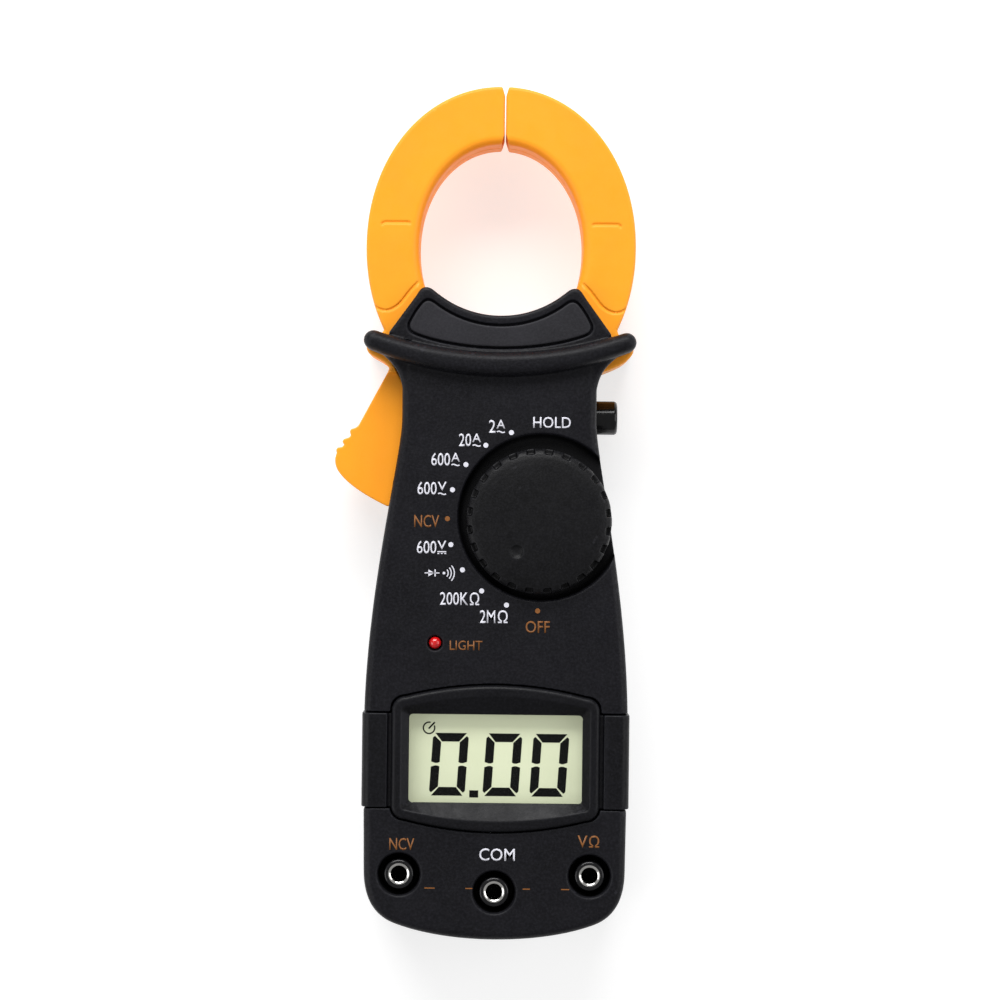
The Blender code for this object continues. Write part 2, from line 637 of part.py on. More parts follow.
def knob():
    rings = [(knob_outline(KNOB_RADIUS, 0.9), KNOB_BOTTOM_Z), (knob_outline(KNOB_RADIUS, 0.9), 32.6),
             (knob_outline(17.2, 0.8), 33.9), (knob_outline(15.8, 0.3), 34.8),
             (knob_outline(13.5, 0.0), 35.25), (knob_outline(8.0, 0.0), KNOB_TOP_Z)]
    body = loft("rotary_knob", rings, "black_case")
    unite(body, cylinder("knob_shaft", KNOB, SHAFT_RADIUS, SHAFT_LOW_Z, 30.0, sides=24))
    subtract(body, cylinder("knob_pilot", KNOB, 1.3, 20, 30.5, sides=12))
    dimple = [(34.9, 1.0), (35.3, 1.5), (38.0, 1.6)]
    subtract(body, lathe_z("pointer_dimple", round_knob(9.2, POINTER_ANGLE), dimple, None, sides=16))
    for number, angle in ((1, 90.0), (2, 270.0)):
        place = round_knob(DETENT_REACH, angle)
        subtract(body, cylinder("detent_bore_%d" % number, place, 1.6, 20, 33.2, sides=16))
        ball = bmesh.new()
        bmesh.ops.create_icosphere(ball, subdivisions=2, radius=1.1,
                                   matrix=Matrix.Translation((place[0], place[1], 28.8)))
        finish_mesh("detent_ball_%d" % number, ball, "steel")
        turns, steps = 4, 8
        coil = [(place[0] + math.cos(2 * math.pi * i / steps), place[1] + math.sin(2 * math.pi * i / steps),
                 30.4 + 2.4 * i / (turns * steps)) for i in range(turns * steps + 1)]
        tube("detent_spring_%d" % number, coil, 0.18, "steel", 0)


def switch_rotor():
    disc = cylinder("switch_rotor", KNOB, 15.0, 23.6, 25.2, "white_plastic", sides=36)
    subtract(disc, cylinder("rotor_hole", KNOB, 4.3, 20, 30, sides=24))
    lathe_z("knob_screw", KNOB, [(22.3, 4.6), (23.3, 4.7), (23.35, 1.0), (29.8, 1.0)], "steel", sides=20)
    for number in range(3):
        start = 40 + 120 * number
        arc = [round_knob(13.2, start + 10 * k) for k in range(6)]
        arc += [round_knob(8.4, start + 50 - 10 * k) for k in range(6)]
        contact = prism("rotor_contact_%d" % (number + 1), arc, 22.9, 23.3, "brass")
        for radius in (9.9, 11.7):
            slot = [round_knob(radius + 0.3, start + 8 + 10 * k) for k in range(5)]
            slot += [round_knob(radius - 0.3, start + 55 - 10 * k) for k in range(5)]
            subtract(contact, prism("contact_slot_%d_%d" % (number, int(radius)), slot, 22, 24))


def hold_button():
    flange = [(20.6, 5.2), (21.4, 5.2)]
    cap = [(21.4001, HOLD_RADIUS), (28.5, HOLD_RADIUS), (29.0, HOLD_RADIUS - 0.35), (HOLD_OUTER_X, HOLD_RADIUS - 1.0)]
    lathe_x("hold_button", HOLD_Y, PART_Z, flange + cap, "black_gloss")
    lathe_x("hold_plunger", HOLD_Y, PART_Z, [(15.4, 1.4), (20.3, 1.4)], "white_plastic", sides=16)
    body = box("hold_switch", 10.0, 54.2, 12.8, 17.0, 60.6, BOARD_LOW_Z - GAP, "chip")
    subtract(body, lathe_x("plunger_way", HOLD_Y, PART_Z, [(12.8, 1.75), (19.0, 1.75)], None, sides=16))


# ---------------------------------------------------------------- electronics

def board():
    outline = [(-28.6, -47.0), (28.6, -47.0), (28.9, -14.0), (28.6, -4.0), (25.0, 30.0), (21.2, 44.0),
               (21.2, 50.0), (18.0, 50.0), (18.0, 61.2), (8.5, 61.2), (8.5, 50.0), (-7.5, 50.0),
               (-7.5, 31.0), (-24.5, 31.0), (-28.4, 5.0), (-28.9, -14.0)]
    plate = prism("main_board", outline, BOARD_LOW_Z, BOARD_HIGH_Z, "board")
    subtract(plate, cylinder("board_knob_hole", KNOB, 5.3, 10, 30))
    for name, place in BOARD_SCREWS.items():
        subtract(plate, cylinder("clear_" + name, place, 1.35, 10, 30, sides=12))
        lathe_z(name, place, [(19.4, 1.9), (20.7, 2.1), (20.75, 0.9), (25.0, 0.9)], "steel", sides=16)
    box("measuring_chip", 2.0, 14.0, 18.4, 16.0, 28.0, BOARD_LOW_Z - GAP, "chip")
    lathe_z("buzzer", BUZZER, [(13.5, 5.6), (14.0, 6.0), (BOARD_LOW_Z - GAP, 6.0)], "chip")
    lathe_z("led", LED, [(BOARD_HIGH_Z + GAP, 1.5), (30.2, 1.5), (31.0, 1.2), (31.4, 0.6)], "red", sides=20)
    box("lcd_panel", -24.4, -39.3, 24.4, 24.4, -14.2, 26.3, "lcd")
    holder = box("lcd_holder", -26.6, -43.0, BOARD_HIGH_Z + GAP, 26.6, -10.6, 26.3, "white_plastic")
    subtract(holder, box("lcd_room", -24.7, -39.6, 20, 24.7, -13.9, 30))
    box("zebra_strip_1", -22.0, -38.8, BOARD_HIGH_Z + GAP, 22.0, -37.0, 24.1, "rubber")
    box("zebra_strip_2", -22.0, -16.6, BOARD_HIGH_Z + GAP, 22.0, -14.8, 24.1, "rubber")
    prism("display_window", rectangle(-23.4, -39.4, 23.4, -13.9), POCKET_Z + GAP, 29.8, "clear")


def input_jacks():
    for name, (x, y) in JACKS.items():
        barrel = [(14.5, 2.6), (15.0, JACK_OUTER), (18.2, JACK_OUTER), (18.2001, 4.2), (19.3, 4.2),
                  (19.3001, JACK_OUTER), (30.1, JACK_OUTER), (30.5, 2.5)]
        jack = lathe_z(name, (x, y), barrel, "brass", sides=24)
        unite(jack, box("tab_" + name, x - 1.4, y + 3.0, 18.4, x + 1.4, -44.5, 19.1),
              box("lug_" + name, x - 1.4, -45.3, 18.4, x + 1.4, -44.4, BOARD_LOW_Z - GAP))
        subtract(jack, cylinder("hole_" + name, (x, y), JACK_BORE, 15.5, 40, sides=24))


def battery():
    cell = prism("battery", rounded_rectangle(-26.4, -41.0, 19.8, -14.6, 2.2), 2.1, 19.4, "black_gloss")
    for number, y in ((1, -34.2), (2, -21.4)):
        unite(cell, lathe_x("terminal_%d" % number, y, 10.8, [(19.0, 3.0), (22.0, 3.0)], None, sides=16))
    box("battery_snap", 22.4, -38.5, 5.2, 25.0, -17.1, 16.4, "rubber")
    red_path = [(25.3, -21.0, 12.0), (26.6, -21.0, 12.2), (27.6, -21.5, 14.5), (27.4, -22.5, 18.0),
                (27.0, -23.0, 20.6)]
    black_path = [(25.3, -34.0, 12.0), (26.6, -34.0, 12.2), (27.6, -33.5, 14.5), (27.4, -32.5, 18.0),
                  (27.0, -32.0, 20.6)]
    wire("battery_wire_red", red_path, 0.6, "red")
    wire("battery_wire_black", black_path, 0.6, "rubber")


def fasteners():
    case_screw = [(0.5, 2.5), (2.35, 2.5), (2.4, 1.25), (24.5, 1.25), (25.5, 0.5)]
    for name, place in SCREWS.items():
        lathe_z(name, place, case_screw, "steel", sides=16)
    cover_screw = [(0.15, 1.95), (0.7, 1.95), (1.1, 0.95), (7.5, 0.95), (8.2, 0.4)]
    lathe_z("battery_cover_screw", COVER_SCREW, cover_screw, "steel", sides=16)


def main():
    clear_scene()
    front_case()
    rear_case()
    display_frame()
    battery_cover()
    moving_jaw()
    fixed_jaw()
    pivot_and_spring()
    knob()
    switch_rotor()
    hold_button()
    board()
    input_jacks()
    battery()
    fasteners()


main()
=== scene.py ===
import json
import math

import bmesh
import bpy
from mathutils import Matrix, Vector


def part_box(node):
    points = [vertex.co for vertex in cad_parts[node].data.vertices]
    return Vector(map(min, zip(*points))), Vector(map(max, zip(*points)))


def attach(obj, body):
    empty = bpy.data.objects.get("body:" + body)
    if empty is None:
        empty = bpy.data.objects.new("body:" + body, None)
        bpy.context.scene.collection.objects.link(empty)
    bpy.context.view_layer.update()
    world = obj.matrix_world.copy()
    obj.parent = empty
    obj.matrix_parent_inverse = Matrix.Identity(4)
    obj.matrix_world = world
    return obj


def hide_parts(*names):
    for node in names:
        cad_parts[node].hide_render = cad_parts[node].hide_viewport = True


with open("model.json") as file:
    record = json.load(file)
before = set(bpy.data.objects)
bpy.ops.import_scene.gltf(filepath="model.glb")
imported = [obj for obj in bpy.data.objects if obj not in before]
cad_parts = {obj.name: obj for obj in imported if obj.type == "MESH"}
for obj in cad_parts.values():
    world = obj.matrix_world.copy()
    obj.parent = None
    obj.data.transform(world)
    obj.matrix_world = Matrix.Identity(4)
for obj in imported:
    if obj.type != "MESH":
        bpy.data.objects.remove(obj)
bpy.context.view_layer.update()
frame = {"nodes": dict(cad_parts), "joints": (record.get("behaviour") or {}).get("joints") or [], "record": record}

MM = 0.001
FINE = 0.26          # voxel size of the moulded shells, mm


def node_box(name):
    """Lowest and highest corner of a CAD node, in mm."""
    low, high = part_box(name)
    return [v / MM for v in low], [v / MM for v in high]


def node_centre(name):
    low, high = node_box(name)
    return [(a + b) / 2 for a, b in zip(low, high)]


def joint_place(name):
    joint = next(j for j in frame["joints"] if j["name"] == name)
    return [v / MM for v in joint["pos_m"]]


# Sizes read from the frame, mm
FRONT_LOW, FRONT_HIGH = node_box("front_case")
REAR_LOW, REAR_HIGH = node_box("rear_case")
JAW_FRONT_LOW, JAW_FRONT_HIGH = node_box("fixed_jaw_front_shell")
JAW_REAR_LOW, JAW_REAR_HIGH = node_box("fixed_jaw_rear_shell")
KNOB_LOW, KNOB_HIGH = node_box("rotary_knob")
FRAME_LOW, FRAME_HIGH = node_box("display_frame")
LCD_LOW, LCD_HIGH = node_box("lcd_panel")
WINDOW_LOW, WINDOW_HIGH = node_box("display_window")
HOLD_LOW, HOLD_HIGH = node_box("hold_button")
KNOB = joint_place("knob_turn")[:2]
PIVOT = joint_place("jaw_hinge")[:2]
HOLD_Y = (HOLD_LOW[1] + HOLD_HIGH[1]) / 2
SEAM_Z = 16.0                          # middle of the parting line
PIN_HOLE_RADIUS = 1.8
CASE_SCREWS = ["case_screw_%d" % number for number in range(1, 5)]
JACKS = {name: node_centre(name)[0:1] + [node_box(name)[0][1] + 4.2]
         for name in ("input_jack_left", "input_jack_com", "input_jack_right")}

# Driving sizes of the case, mm
CASE_BOTTOM = FRONT_LOW[1]
FRONT_Z = 31.0
GUARD_TOP_Z = FRONT_HIGH[2]
NECK_HALF = 23.8
BODY_HALF = 32.3
CASE_TOP = 71.5                        # hidden under the guard
SPLIT_HIGH = FRONT_LOW[2]              # lower edge of the front case
SPLIT_LOW = REAR_HIGH[2]               # upper edge of the rear case
WALL = 2.0
PLATE_LOW_Z = JAW_FRONT_HIGH[2] + 0.3
PLATE_HIGH_Z = 29.5
REAR_PLATE_Z = JAW_REAR_LOW[2] - 0.3
GUARD_RADIUS = 88.0
GUARD_MID_Y = 69.8
GUARD_HALF_LENGTH = 30.9
GUARD_HALF_WIDTH = 2.4
RECESS = (KNOB[0] + 0.6, KNOB[1] + 1.0)
RECESS_RADIUS = 20.2
RECESS_FLOOR_Z = KNOB_LOW[2] + 3.7     # the knob's shaft reaches below its skirt
KNOB_RADIUS = (KNOB_HIGH[0] - KNOB_LOW[0]) / 2
KNOB_TEETH = 24

# Driving sizes of the jaws, mm
JAW_CENTRE_Y = 98.9
JAW_OUTER = (33.2, JAW_FRONT_HIGH[1] - JAW_CENTRE_Y)
JAW_INNER = (20.2, 25.4)
CORE_OUTER = (29.2, 35.2)
CORE_INNER = (24.2, 30.2)
JAW_POWER = 2.05
TIP_OUTER_Y = JAW_CENTRE_Y + JAW_OUTER[1]
TIP_INNER_Y = JAW_CENTRE_Y + JAW_INNER[1]
SLIT_X = 0.7

# Display, mm
BAND_LOW_Y = -39.0
BAND_HIGH_Y = -15.3
BEZEL_HALF = 25.4
BEZEL_TOP_Y = FRAME_HIGH[1]
BEZEL_BOTTOM_Y = FRAME_LOW[1]
VIEW = (-21.1, -37.4, 21.2, -15.9)
POCKET_Z = FRAME_LOW[2] - 0.3
WELL_RADIUS = 5.1


# ---------------------------------------------------------------- mesh tools

def new_object(name, mesh):
    thing = bpy.data.objects.new(name, mesh)
    bpy.context.scene.collection.objects.link(thing)
    return thing


def from_bmesh(name, maker):
    bmesh.ops.recalc_face_normals(maker, faces=maker.faces)
    mesh = bpy.data.meshes.new(name)
    maker.to_mesh(mesh)
    maker.free()
    return new_object(name, mesh)


def skin(name, loops):
    """Closed solid through loops of 3-D points, capped at both ends, in mm."""
    maker = bmesh.new()
    rings = [[maker.verts.new(point) for point in loop] for loop in loops]
    count = len(rings[0])
    for lower, upper in zip(rings, rings[1:]):
        for i in range(count):
            j = (i + 1) % count
            maker.faces.new((lower[i], lower[j], upper[j], upper[i]))
    maker.faces.new(list(reversed(rings[0])))
    maker.faces.new(rings[-1])
    return from_bmesh(name, maker)


def loft(name, rings):
    return skin(name, [[(x, y, z) for x, y in outline] for outline, z in rings])


def prism(name, outline, low, high):
    return loft(name, [(outline, low), (outline, high)])


def box(name, x0, y0, z0, x1, y1, z1):
    return prism(name, rectangle(x0, y0, x1, y1), z0, z1)


def cylinder(name, centre, radius, low, high, sides=64):
    return prism(name, circle(centre, radius, sides), low, high)


def turned_z(name, centre, profile, sides=64):
    return loft(name, [(circle(centre, radius, sides), z) for z, radius in profile])


def turned_x(name, y, z, profile, sides=64):
    return skin(name, [[(x, *point) for point in circle((y, z), radius, sides)] for x, radius in profile])


def polar(centre, radius, angle):
    return centre[0] + radius * math.cos(angle), centre[1] + radius * math.sin(angle)


def circle(centre, radius, sides=64):
    return [polar(centre, radius, 2 * math.pi * i / sides) for i in range(sides)]


def arc(centre, radius, start, end, steps):
    """Points from one angle to another, in degrees."""
    return [polar(centre, radius, math.radians(start + (end - start) * i / steps)) for i in range(steps + 1)]


def quarter(steps):
    """Angles from 0 to 90 degrees, in radians."""
    return [math.pi / 2 * i / steps for i in range(steps + 1)]


def turned(points, centre, angle):
    """Outline turned about the origin, then moved to a centre."""
    c, s = math.cos(angle), math.sin(angle)
    return [(centre[0] + a * c - b * s, centre[1] + a * s + b * c) for a, b in points]


def grown(half_axes, distance):
    return half_axes[0] + distance, half_axes[1] + distance


def rectangle(x0, y0, x1, y1):
    return [(x0, y0), (x1, y0), (x1, y1), (x0, y1)]


def rounded_rectangle(x0, y0, x1, y1, radius, steps=8):
    points = []
    for cx, cy, start in ((x1 - radius, y0 + radius, -90), (x1 - radius, y1 - radius, 0),
                          (x0 + radius, y1 - radius, 90), (x0 + radius, y0 + radius, 180)):
        points += arc((cx, cy), radius, start, start + 90, steps)
    return points


def bezier(p0, p1, p2, p3, steps):
    points = []
    for i in range(steps):
        t = i / steps
        a, b, c, d = (1 - t) ** 3, 3 * t * (1 - t) ** 2, 3 * t * t * (1 - t), t ** 3
        points.append((a * p0[0] + b * p1[0] + c * p2[0] + d * p3[0],
                       a * p0[1] + b * p1[1] + c * p2[1] + d * p3[1]))
    return points


def inset(outline, distance):
    """Outline moved inwards; it runs anticlockwise."""
    result = []
    count = len(outline)
    for i in range(count):
        before, here, after = (Vector(outline[k % count]) for k in (i - 1, i, i + 1))
        first = (here - before).normalized()
        second = (after - here).normalized()
        normal_1 = Vector((-first.y, first.x))
        normal_2 = Vector((-second.y, second.x))
        bisector = (normal_1 + normal_2).normalized()
        point = here + bisector * (distance / max(0.35, bisector.dot(normal_1)))
        result.append((point.x, point.y))
    return result


def edge_rings(outline, low, high, radius, steps=5, at_top=True):
    """Rings of a prism with a rounded edge at its top or its bottom."""
    rings = []
    for angle in quarter(steps):
        ring = inset(outline, radius * (1 - math.cos(angle))) if angle else outline
        rings.append((ring, radius * (1 - math.sin(angle))))
    if at_top:
        return [(outline, low)] + [(ring, high - drop) for ring, drop in rings]
    return [(ring, low + drop) for ring, drop in reversed(rings)] + [(outline, high)]


def superellipse(half_axes, start, end, steps):
    points = []
    for i in range(steps + 1):
        angle = math.radians(start + (end - start) * i / steps)
        c, s = math.cos(angle), math.sin(angle)
        points.append((half_axes[0] * math.copysign(abs(c) ** (2 / JAW_POWER), c),
                       JAW_CENTRE_Y + half_axes[1] * math.copysign(abs(s) ** (2 / JAW_POWER), s)))
    return points


def strip(points, half_width):
    """Outline of a band of even width along an open line of points."""
    left, right = [], []
    for i, point in enumerate(points):
        before = Vector(points[max(i - 1, 0)])
        after = Vector(points[min(i + 1, len(points) - 1)])
        along = (after - before).normalized()
        side = Vector((-along.y, along.x)) * half_width
        left.append((point[0] + side.x, point[1] + side.y))
        right.append((point[0] - side.x, point[1] - side.y))
    return right + list(reversed(left))


def smooth_line(points, steps=6):
    """Smooth curve through the points."""
    result = []
    count = len(points)
    for i in range(count - 1):
        p0, p1, p2, p3 = (Vector(points[min(max(k, 0), count - 1)]) for k in (i - 1, i, i + 1, i + 2))
        for step in range(steps):
            t = step / steps
            result.append(tuple(0.5 * (2 * p1 + (p2 - p0) * t + (2 * p0 - 5 * p1 + 4 * p2 - p3) * t * t
                                       + (3 * p1 - p0 - 3 * p2 + p3) * t ** 3)))
    return result + [tuple(points[-1])]


def change(target, other, operation):
    modifier = target.modifiers.new(other.name, "BOOLEAN")
    modifier.operation = operation
    modifier.solver = "MANIFOLD"
    modifier.object = other


def subtract(target, *others):
    for other in others:
        change(target, other, "DIFFERENCE")


def unite(target, *others):
    for other in others:
        change(target, other, "UNION")


def helpers_of(thing):
    found = []
    for modifier in thing.modifiers:
        if modifier.type == "BOOLEAN":
            found += [modifier.object] + helpers_of(modifier.object)
    return found


def moulded(name, solid, voxel=None, rounds=3):
    """The finished moulding: its Booleans applied, every edge rounded as in a mould, and in metres."""
    helpers = helpers_of(solid)
    if voxel:
        remesh = solid.modifiers.new("Remesh", "REMESH")
        remesh.mode = "VOXEL"
        remesh.voxel_size = voxel
        soften = solid.modifiers.new("Smooth", "SMOOTH")
        soften.factor = 0.5
        soften.iterations = rounds
    graph = bpy.context.evaluated_depsgraph_get()
    mesh = bpy.data.meshes.new_from_object(solid.evaluated_get(graph))
    mesh.name = name
    mesh.transform(Matrix.Scale(MM, 4))
    for helper in set(helpers) | {solid}:
        bpy.data.objects.remove(helper, do_unlink=True)
    mesh.shade_smooth()
    if not voxel:
        mesh.set_sharp_from_angle(angle=math.radians(32))
    return new_object(name, mesh)


def place(piece, look, slot, stands_for=(), body="root"):
    piece.data.materials.clear()
    piece.data.materials.append(MAT[look])
    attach(piece, body)
    if stands_for:
        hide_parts(*stands_for)
    return piece


# ---------------------------------------------------------------- outlines

def mirrored(points):
    return [(-x, y) for x, y in reversed(points)]


def body_outline():
    right = bezier((0.0, CASE_BOTTOM), (8.0, CASE_BOTTOM), (17.0, -70.0), (24.3, -67.3), 14)
    right += bezier((24.3, -67.3), (29.5, -65.4), (32.0, -61.0), (32.0, -54.0), 14)
    right += bezier((32.0, -54.0), (32.1, -45.0), (BODY_HALF, -34.0), (BODY_HALF, -17.0), 8)
    right += bezier((BODY_HALF, -17.0), (31.9, 15.0), (NECK_HALF, 47.5), (NECK_HALF, 56.0), 36)
    right += [(NECK_HALF, 56.0), (NECK_HALF, 62.0), (NECK_HALF, 68.0), (NECK_HALF, CASE_TOP)]
    return right + mirrored(right)[:-1]


def guard_outline(half_width, steps=40):
    centre_y = GUARD_MID_Y + GUARD_RADIUS
    reach = math.asin(GUARD_HALF_LENGTH / GUARD_RADIUS)
    end_x = GUARD_RADIUS * math.sin(reach)
    end_y = centre_y - GUARD_RADIUS * math.cos(reach)
    points = []
    for side in (1, -1):
        for i in range(steps + 1):
            turn = side * (-reach + 2 * reach * i / steps)
            swell = 0.5 * math.cos(turn / reach * math.pi / 2)
            radius = GUARD_RADIUS + side * (half_width + swell)
            points.append((radius * math.sin(turn), centre_y - radius * math.cos(turn)))
        for i in range(1, 10):
            angle = math.radians(-90 if side > 0 else 90) + side * reach + math.pi * i / 10
            if side < 0:
                angle = math.pi / 2 - reach + math.pi * i / 10
            points.append(polar((side * end_x, end_y), half_width, angle))
    return points


def cradle_outline():
    hollow_radius = 25.0
    hollow_y = 81.9 + hollow_radius
    right = [(23.0, 70.5), (25.4, 74.4), (27.3, 77.5)]
    right += bezier((20.9, 86.3), (20.0, 87.6), (19.6, 88.9), (18.0, 88.7), 6)
    right += bezier((18.0, 88.7), (16.9, 88.6), (16.2, 87.8), (15.1, 86.9), 5)
    right += arc((0.0, hollow_y), hollow_radius, -53.0, -90.0, 24)
    return right + mirrored(right)[1:]


def cradle_panel():
    """Inner field of the cradle plate."""
    right = bezier((0.0, 73.6), (8.0, 73.6), (15.5, 74.9), (20.4, 76.7), 10)
    right += bezier((20.4, 76.7), (22.9, 77.5), (23.3, 79.0), (22.2, 80.9), 6)
    right += bezier((22.2, 80.9), (21.3, 82.6), (20.4, 84.0), (19.4, 85.1), 4)
    right += bezier((19.4, 85.1), (18.4, 86.2), (17.1, 86.1), (15.9, 85.2), 6)
    right += bezier((15.9, 85.2), (11.6, 81.9), (6.2, 79.8), (0.0, 79.8), 10)
    return right + [(0.0, 79.8)] + mirrored(right)[:-1]


def bezel_outline(grow=0.0, corner=3.4):
    half = BEZEL_HALF + grow
    sag = 3.8
    reach = half - corner
    points = []
    for side, middle in ((-1, BEZEL_BOTTOM_Y - grow), (1, BEZEL_TOP_Y + grow)):
        edge_y = middle - side * sag * (reach / half) ** 2
        centre_y = edge_y - side * corner
        points += arc((side * reach, centre_y), corner, side * 90 - 90, side * 90, 8)[:-1]
        for i in range(25):
            x = side * reach * (1 - i / 12)
            points.append((x, middle - side * sag * (x / half) ** 2))
        points += arc((-side * reach, centre_y), corner, side * 90, side * 90 + 90, 8)[1:]
    return points


def moving_jaw_outline():
    slit = SLIT_X - 0.15
    flange = bezier((-28.6, 78.2), (-29.6, 76.6), (-32.4, 77.2), (-32.9, 74.6), 6)
    flange += bezier((-32.9, 74.6), (-33.0, 73.2), (-32.6, 72.6), (-31.6, 72.0), 4)
    flange += bezier((-31.6, 72.0), (-29.6, 70.9), (-28.0, 70.2), (-27.2, 68.8), 5)
    teeth = [(-27.2, 68.8), (-34.7, 54.7), (-35.4, 54.1), (-36.5, 53.8), (-36.9, 53.2), (-36.5, 52.2),
             (-37.0, 51.7), (-38.3, 51.3), (-38.7, 50.7), (-38.2, 49.9), (-38.7, 49.3), (-39.8, 49.2),
             (-40.2, 48.6), (-40.0, 47.9)]
    heel = bezier((-40.0, 47.9), (-40.4, 46.9), (-40.7, 45.6), (-39.9, 43.9), 5)
    heel += bezier((-39.9, 43.9), (-38.0, 40.6), (-33.0, 37.4), (-27.4, 34.8), 12)
    inner = [(-27.4, 34.8), (-25.6, 35.4), (-23.0, 41.0), (-20.5, 52.0), (-18.0, 62.0), (-15.5, 68.5),
             (-9.0, 71.8), (-0.15, 73.6), (-0.15, 80.4), (-8.0, 81.2), (-14.2, 83.9)]
    return ([(slit, TIP_OUTER_Y)] + superellipse(JAW_OUTER, 91.5, 210, 70) + flange + teeth + heel + inner
            + superellipse(JAW_INNER, 216, 91.5, 70) + [(slit, TIP_INNER_Y)])


def fixed_jaw_outline():
    slit = SLIT_X + 0.15
    base = [(0.15, 80.4), (0.15, 73.6), (10.0, 71.6), (19.0, 70.0), (25.0, 68.2)]
    flange = bezier((25.0, 68.2), (27.0, 69.0), (30.6, 70.2), (31.9, 71.9), 6)
    flange += bezier((31.9, 71.9), (32.9, 73.0), (33.0, 73.6), (32.9, 74.8), 4)
    flange += bezier((32.9, 74.8), (32.4, 77.2), (29.6, 76.6), (28.6, 78.2), 6)
    return ([(slit, TIP_INNER_Y)] + superellipse(JAW_INNER, 86, -36, 70) + [(14.2, 83.9), (8.0, 81.2)]
            + base + flange + superellipse(JAW_OUTER, -30, 87.5, 70) + [(slit, TIP_OUTER_Y)])


def core_channel(side):
    """Hollow for the core of the left (-1) or right (1) jaw, run out past the slit."""
    over = SLIT_X - side * 0.6
    root = [(side * x, y) for x, y in ((22.3, 79.3), (14.1, 76.5), (-0.1, 75.1),
                                       (-0.1, 79.2), (12.9, 80.9), (19.2, 84.8))]
    outer = superellipse(grown(CORE_OUTER, 0.3), 93, 200, 30)
    inner = superellipse(grown(CORE_INNER, -0.3), 200, 93, 30)
    top = JAW_CENTRE_Y + CORE_OUTER[1] + 0.3
    low = JAW_CENTRE_Y + CORE_INNER[1] - 0.3
    if side < 0:
        return [(over, top)] + outer + root + inner + [(over, low)]
    return [(over, low)] + mirrored(inner) + list(reversed(root)) + mirrored(outer) + [(over, top)]


# ---------------------------------------------------------------- case pieces

def hold_hole():
    return turned_x("hold_hole", HOLD_Y, SEAM_Z, [(21, 4.5), (30, 4.5)])


def front_shell():
    outline = body_outline()
    solid = loft("front_solid", edge_rings(outline, SPLIT_HIGH, FRONT_Z, 2.0, 7))
    subtract(solid, prism("hollow", inset(outline, WALL), 8.0, FRONT_Z - 2.2),
             box("jaw_way", -40, 66.5, 5, 40, 90, PLATE_LOW_Z),
             box("trigger_way", -40, 33.6, 5, -18, 67, 24.3))
    for side in (-1, 1):
        flare = bezier((23.3, 60.0), (23.9, 66.5), (24.6, 68.9), (29.5, 72.6), 12)
        flare += [(29.5, 72.6), (18.0, 74.0), (18.0, 60.0)]
        flare = [(side * x, y) for x, y in flare]
        if side < 0:
            flare.reverse()
        unite(solid, loft("flare", edge_rings(flare, PLATE_LOW_Z, 30.8, 1.2)))
    unite(solid, box("bridge", -31, -46, 26.6, 31, -7, 29.4))
    dish = cylinder("dish", RECESS, RECESS_RADIUS + 1.3, 25.6, 29.4)
    change(dish, prism("dish_limit", inset(outline, 0.35), 20, 40), "INTERSECT")
    unite(solid, dish)
    for spot in JACKS.values():
        unite(solid, cylinder("well", spot, WELL_RADIUS + 1.4, 20.0, 29.6))
    unite(solid, loft("cradle", edge_rings(cradle_outline(), PLATE_LOW_Z, PLATE_HIGH_Z, 0.8)))
    rings = [(guard_outline(GUARD_HALF_WIDTH), PLATE_LOW_Z)]
    for angle in quarter(8):
        rings.append((guard_outline(0.12 + (GUARD_HALF_WIDTH - 0.12) * math.cos(angle)),
                      32.4 + (GUARD_TOP_Z - 32.4) * math.sin(angle)))
    unite(solid, loft("guard", rings))
    subtract(solid, prism("panel_low", cradle_panel(), PLATE_HIGH_Z - 1.1, 40))
    lip = [(RECESS_FLOOR_Z, RECESS_RADIUS - 0.9), (RECESS_FLOOR_Z + 0.5, RECESS_RADIUS - 0.2),
           (FRONT_Z - 0.9, RECESS_RADIUS), (FRONT_Z - 0.3, RECESS_RADIUS + 0.25),
           (FRONT_Z + 0.4, RECESS_RADIUS + 1.1), (45.0, RECESS_RADIUS + 1.1)]
    led_hole = [(20, 1.8), (30.6, 1.8), (31.4, 2.3), (33, 2.3)]
    subtract(solid, turned_z("knob_well", RECESS, lip, 120), cylinder("shaft_hole", KNOB, 5.2, 20, 30),
             turned_z("led_hole", node_centre("led")[:2], led_hole, 40),
             hold_hole(),
             box("band_pocket", -45, BAND_LOW_Y, POCKET_Z, 45, BAND_HIGH_Y, 45),
             prism("bezel_pocket", bezel_outline(0.35), POCKET_Z, 45),
             box("lcd_hole", -22.4, -38.4, 20, 22.4, -14.9, 45),
             cylinder("pin_hole", PIVOT, PIN_HOLE_RADIUS, 20, 31))
    for side in (-1, 1):
        x0, x1 = sorted((side * 31.35, side * 45))
        subtract(solid, box("wing_rebate", x0, BAND_LOW_Y, 19.6, x1, BAND_HIGH_Y, 45))
    well = [(21.4, WELL_RADIUS), (FRONT_Z - 0.6, WELL_RADIUS), (FRONT_Z + 0.5, WELL_RADIUS + 0.8),
            (45, WELL_RADIUS + 0.8)]
    for spot in JACKS.values():
        subtract(solid, turned_z("well_bore", spot, well), cylinder("jack_way", spot, 3.0, 15, 30))
    return moulded("front_shell", solid, FINE)


def cradle_inlay():
    """Paler field of the cradle, with a narrow groove left all round it."""
    rings = edge_rings(inset(cradle_panel(), 0.6), PLATE_HIGH_Z - 1.3, PLATE_HIGH_Z - 0.12, 0.3, 4)
    return moulded("cradle_inlay", loft("inlay", rings), FINE * 0.7, 2)


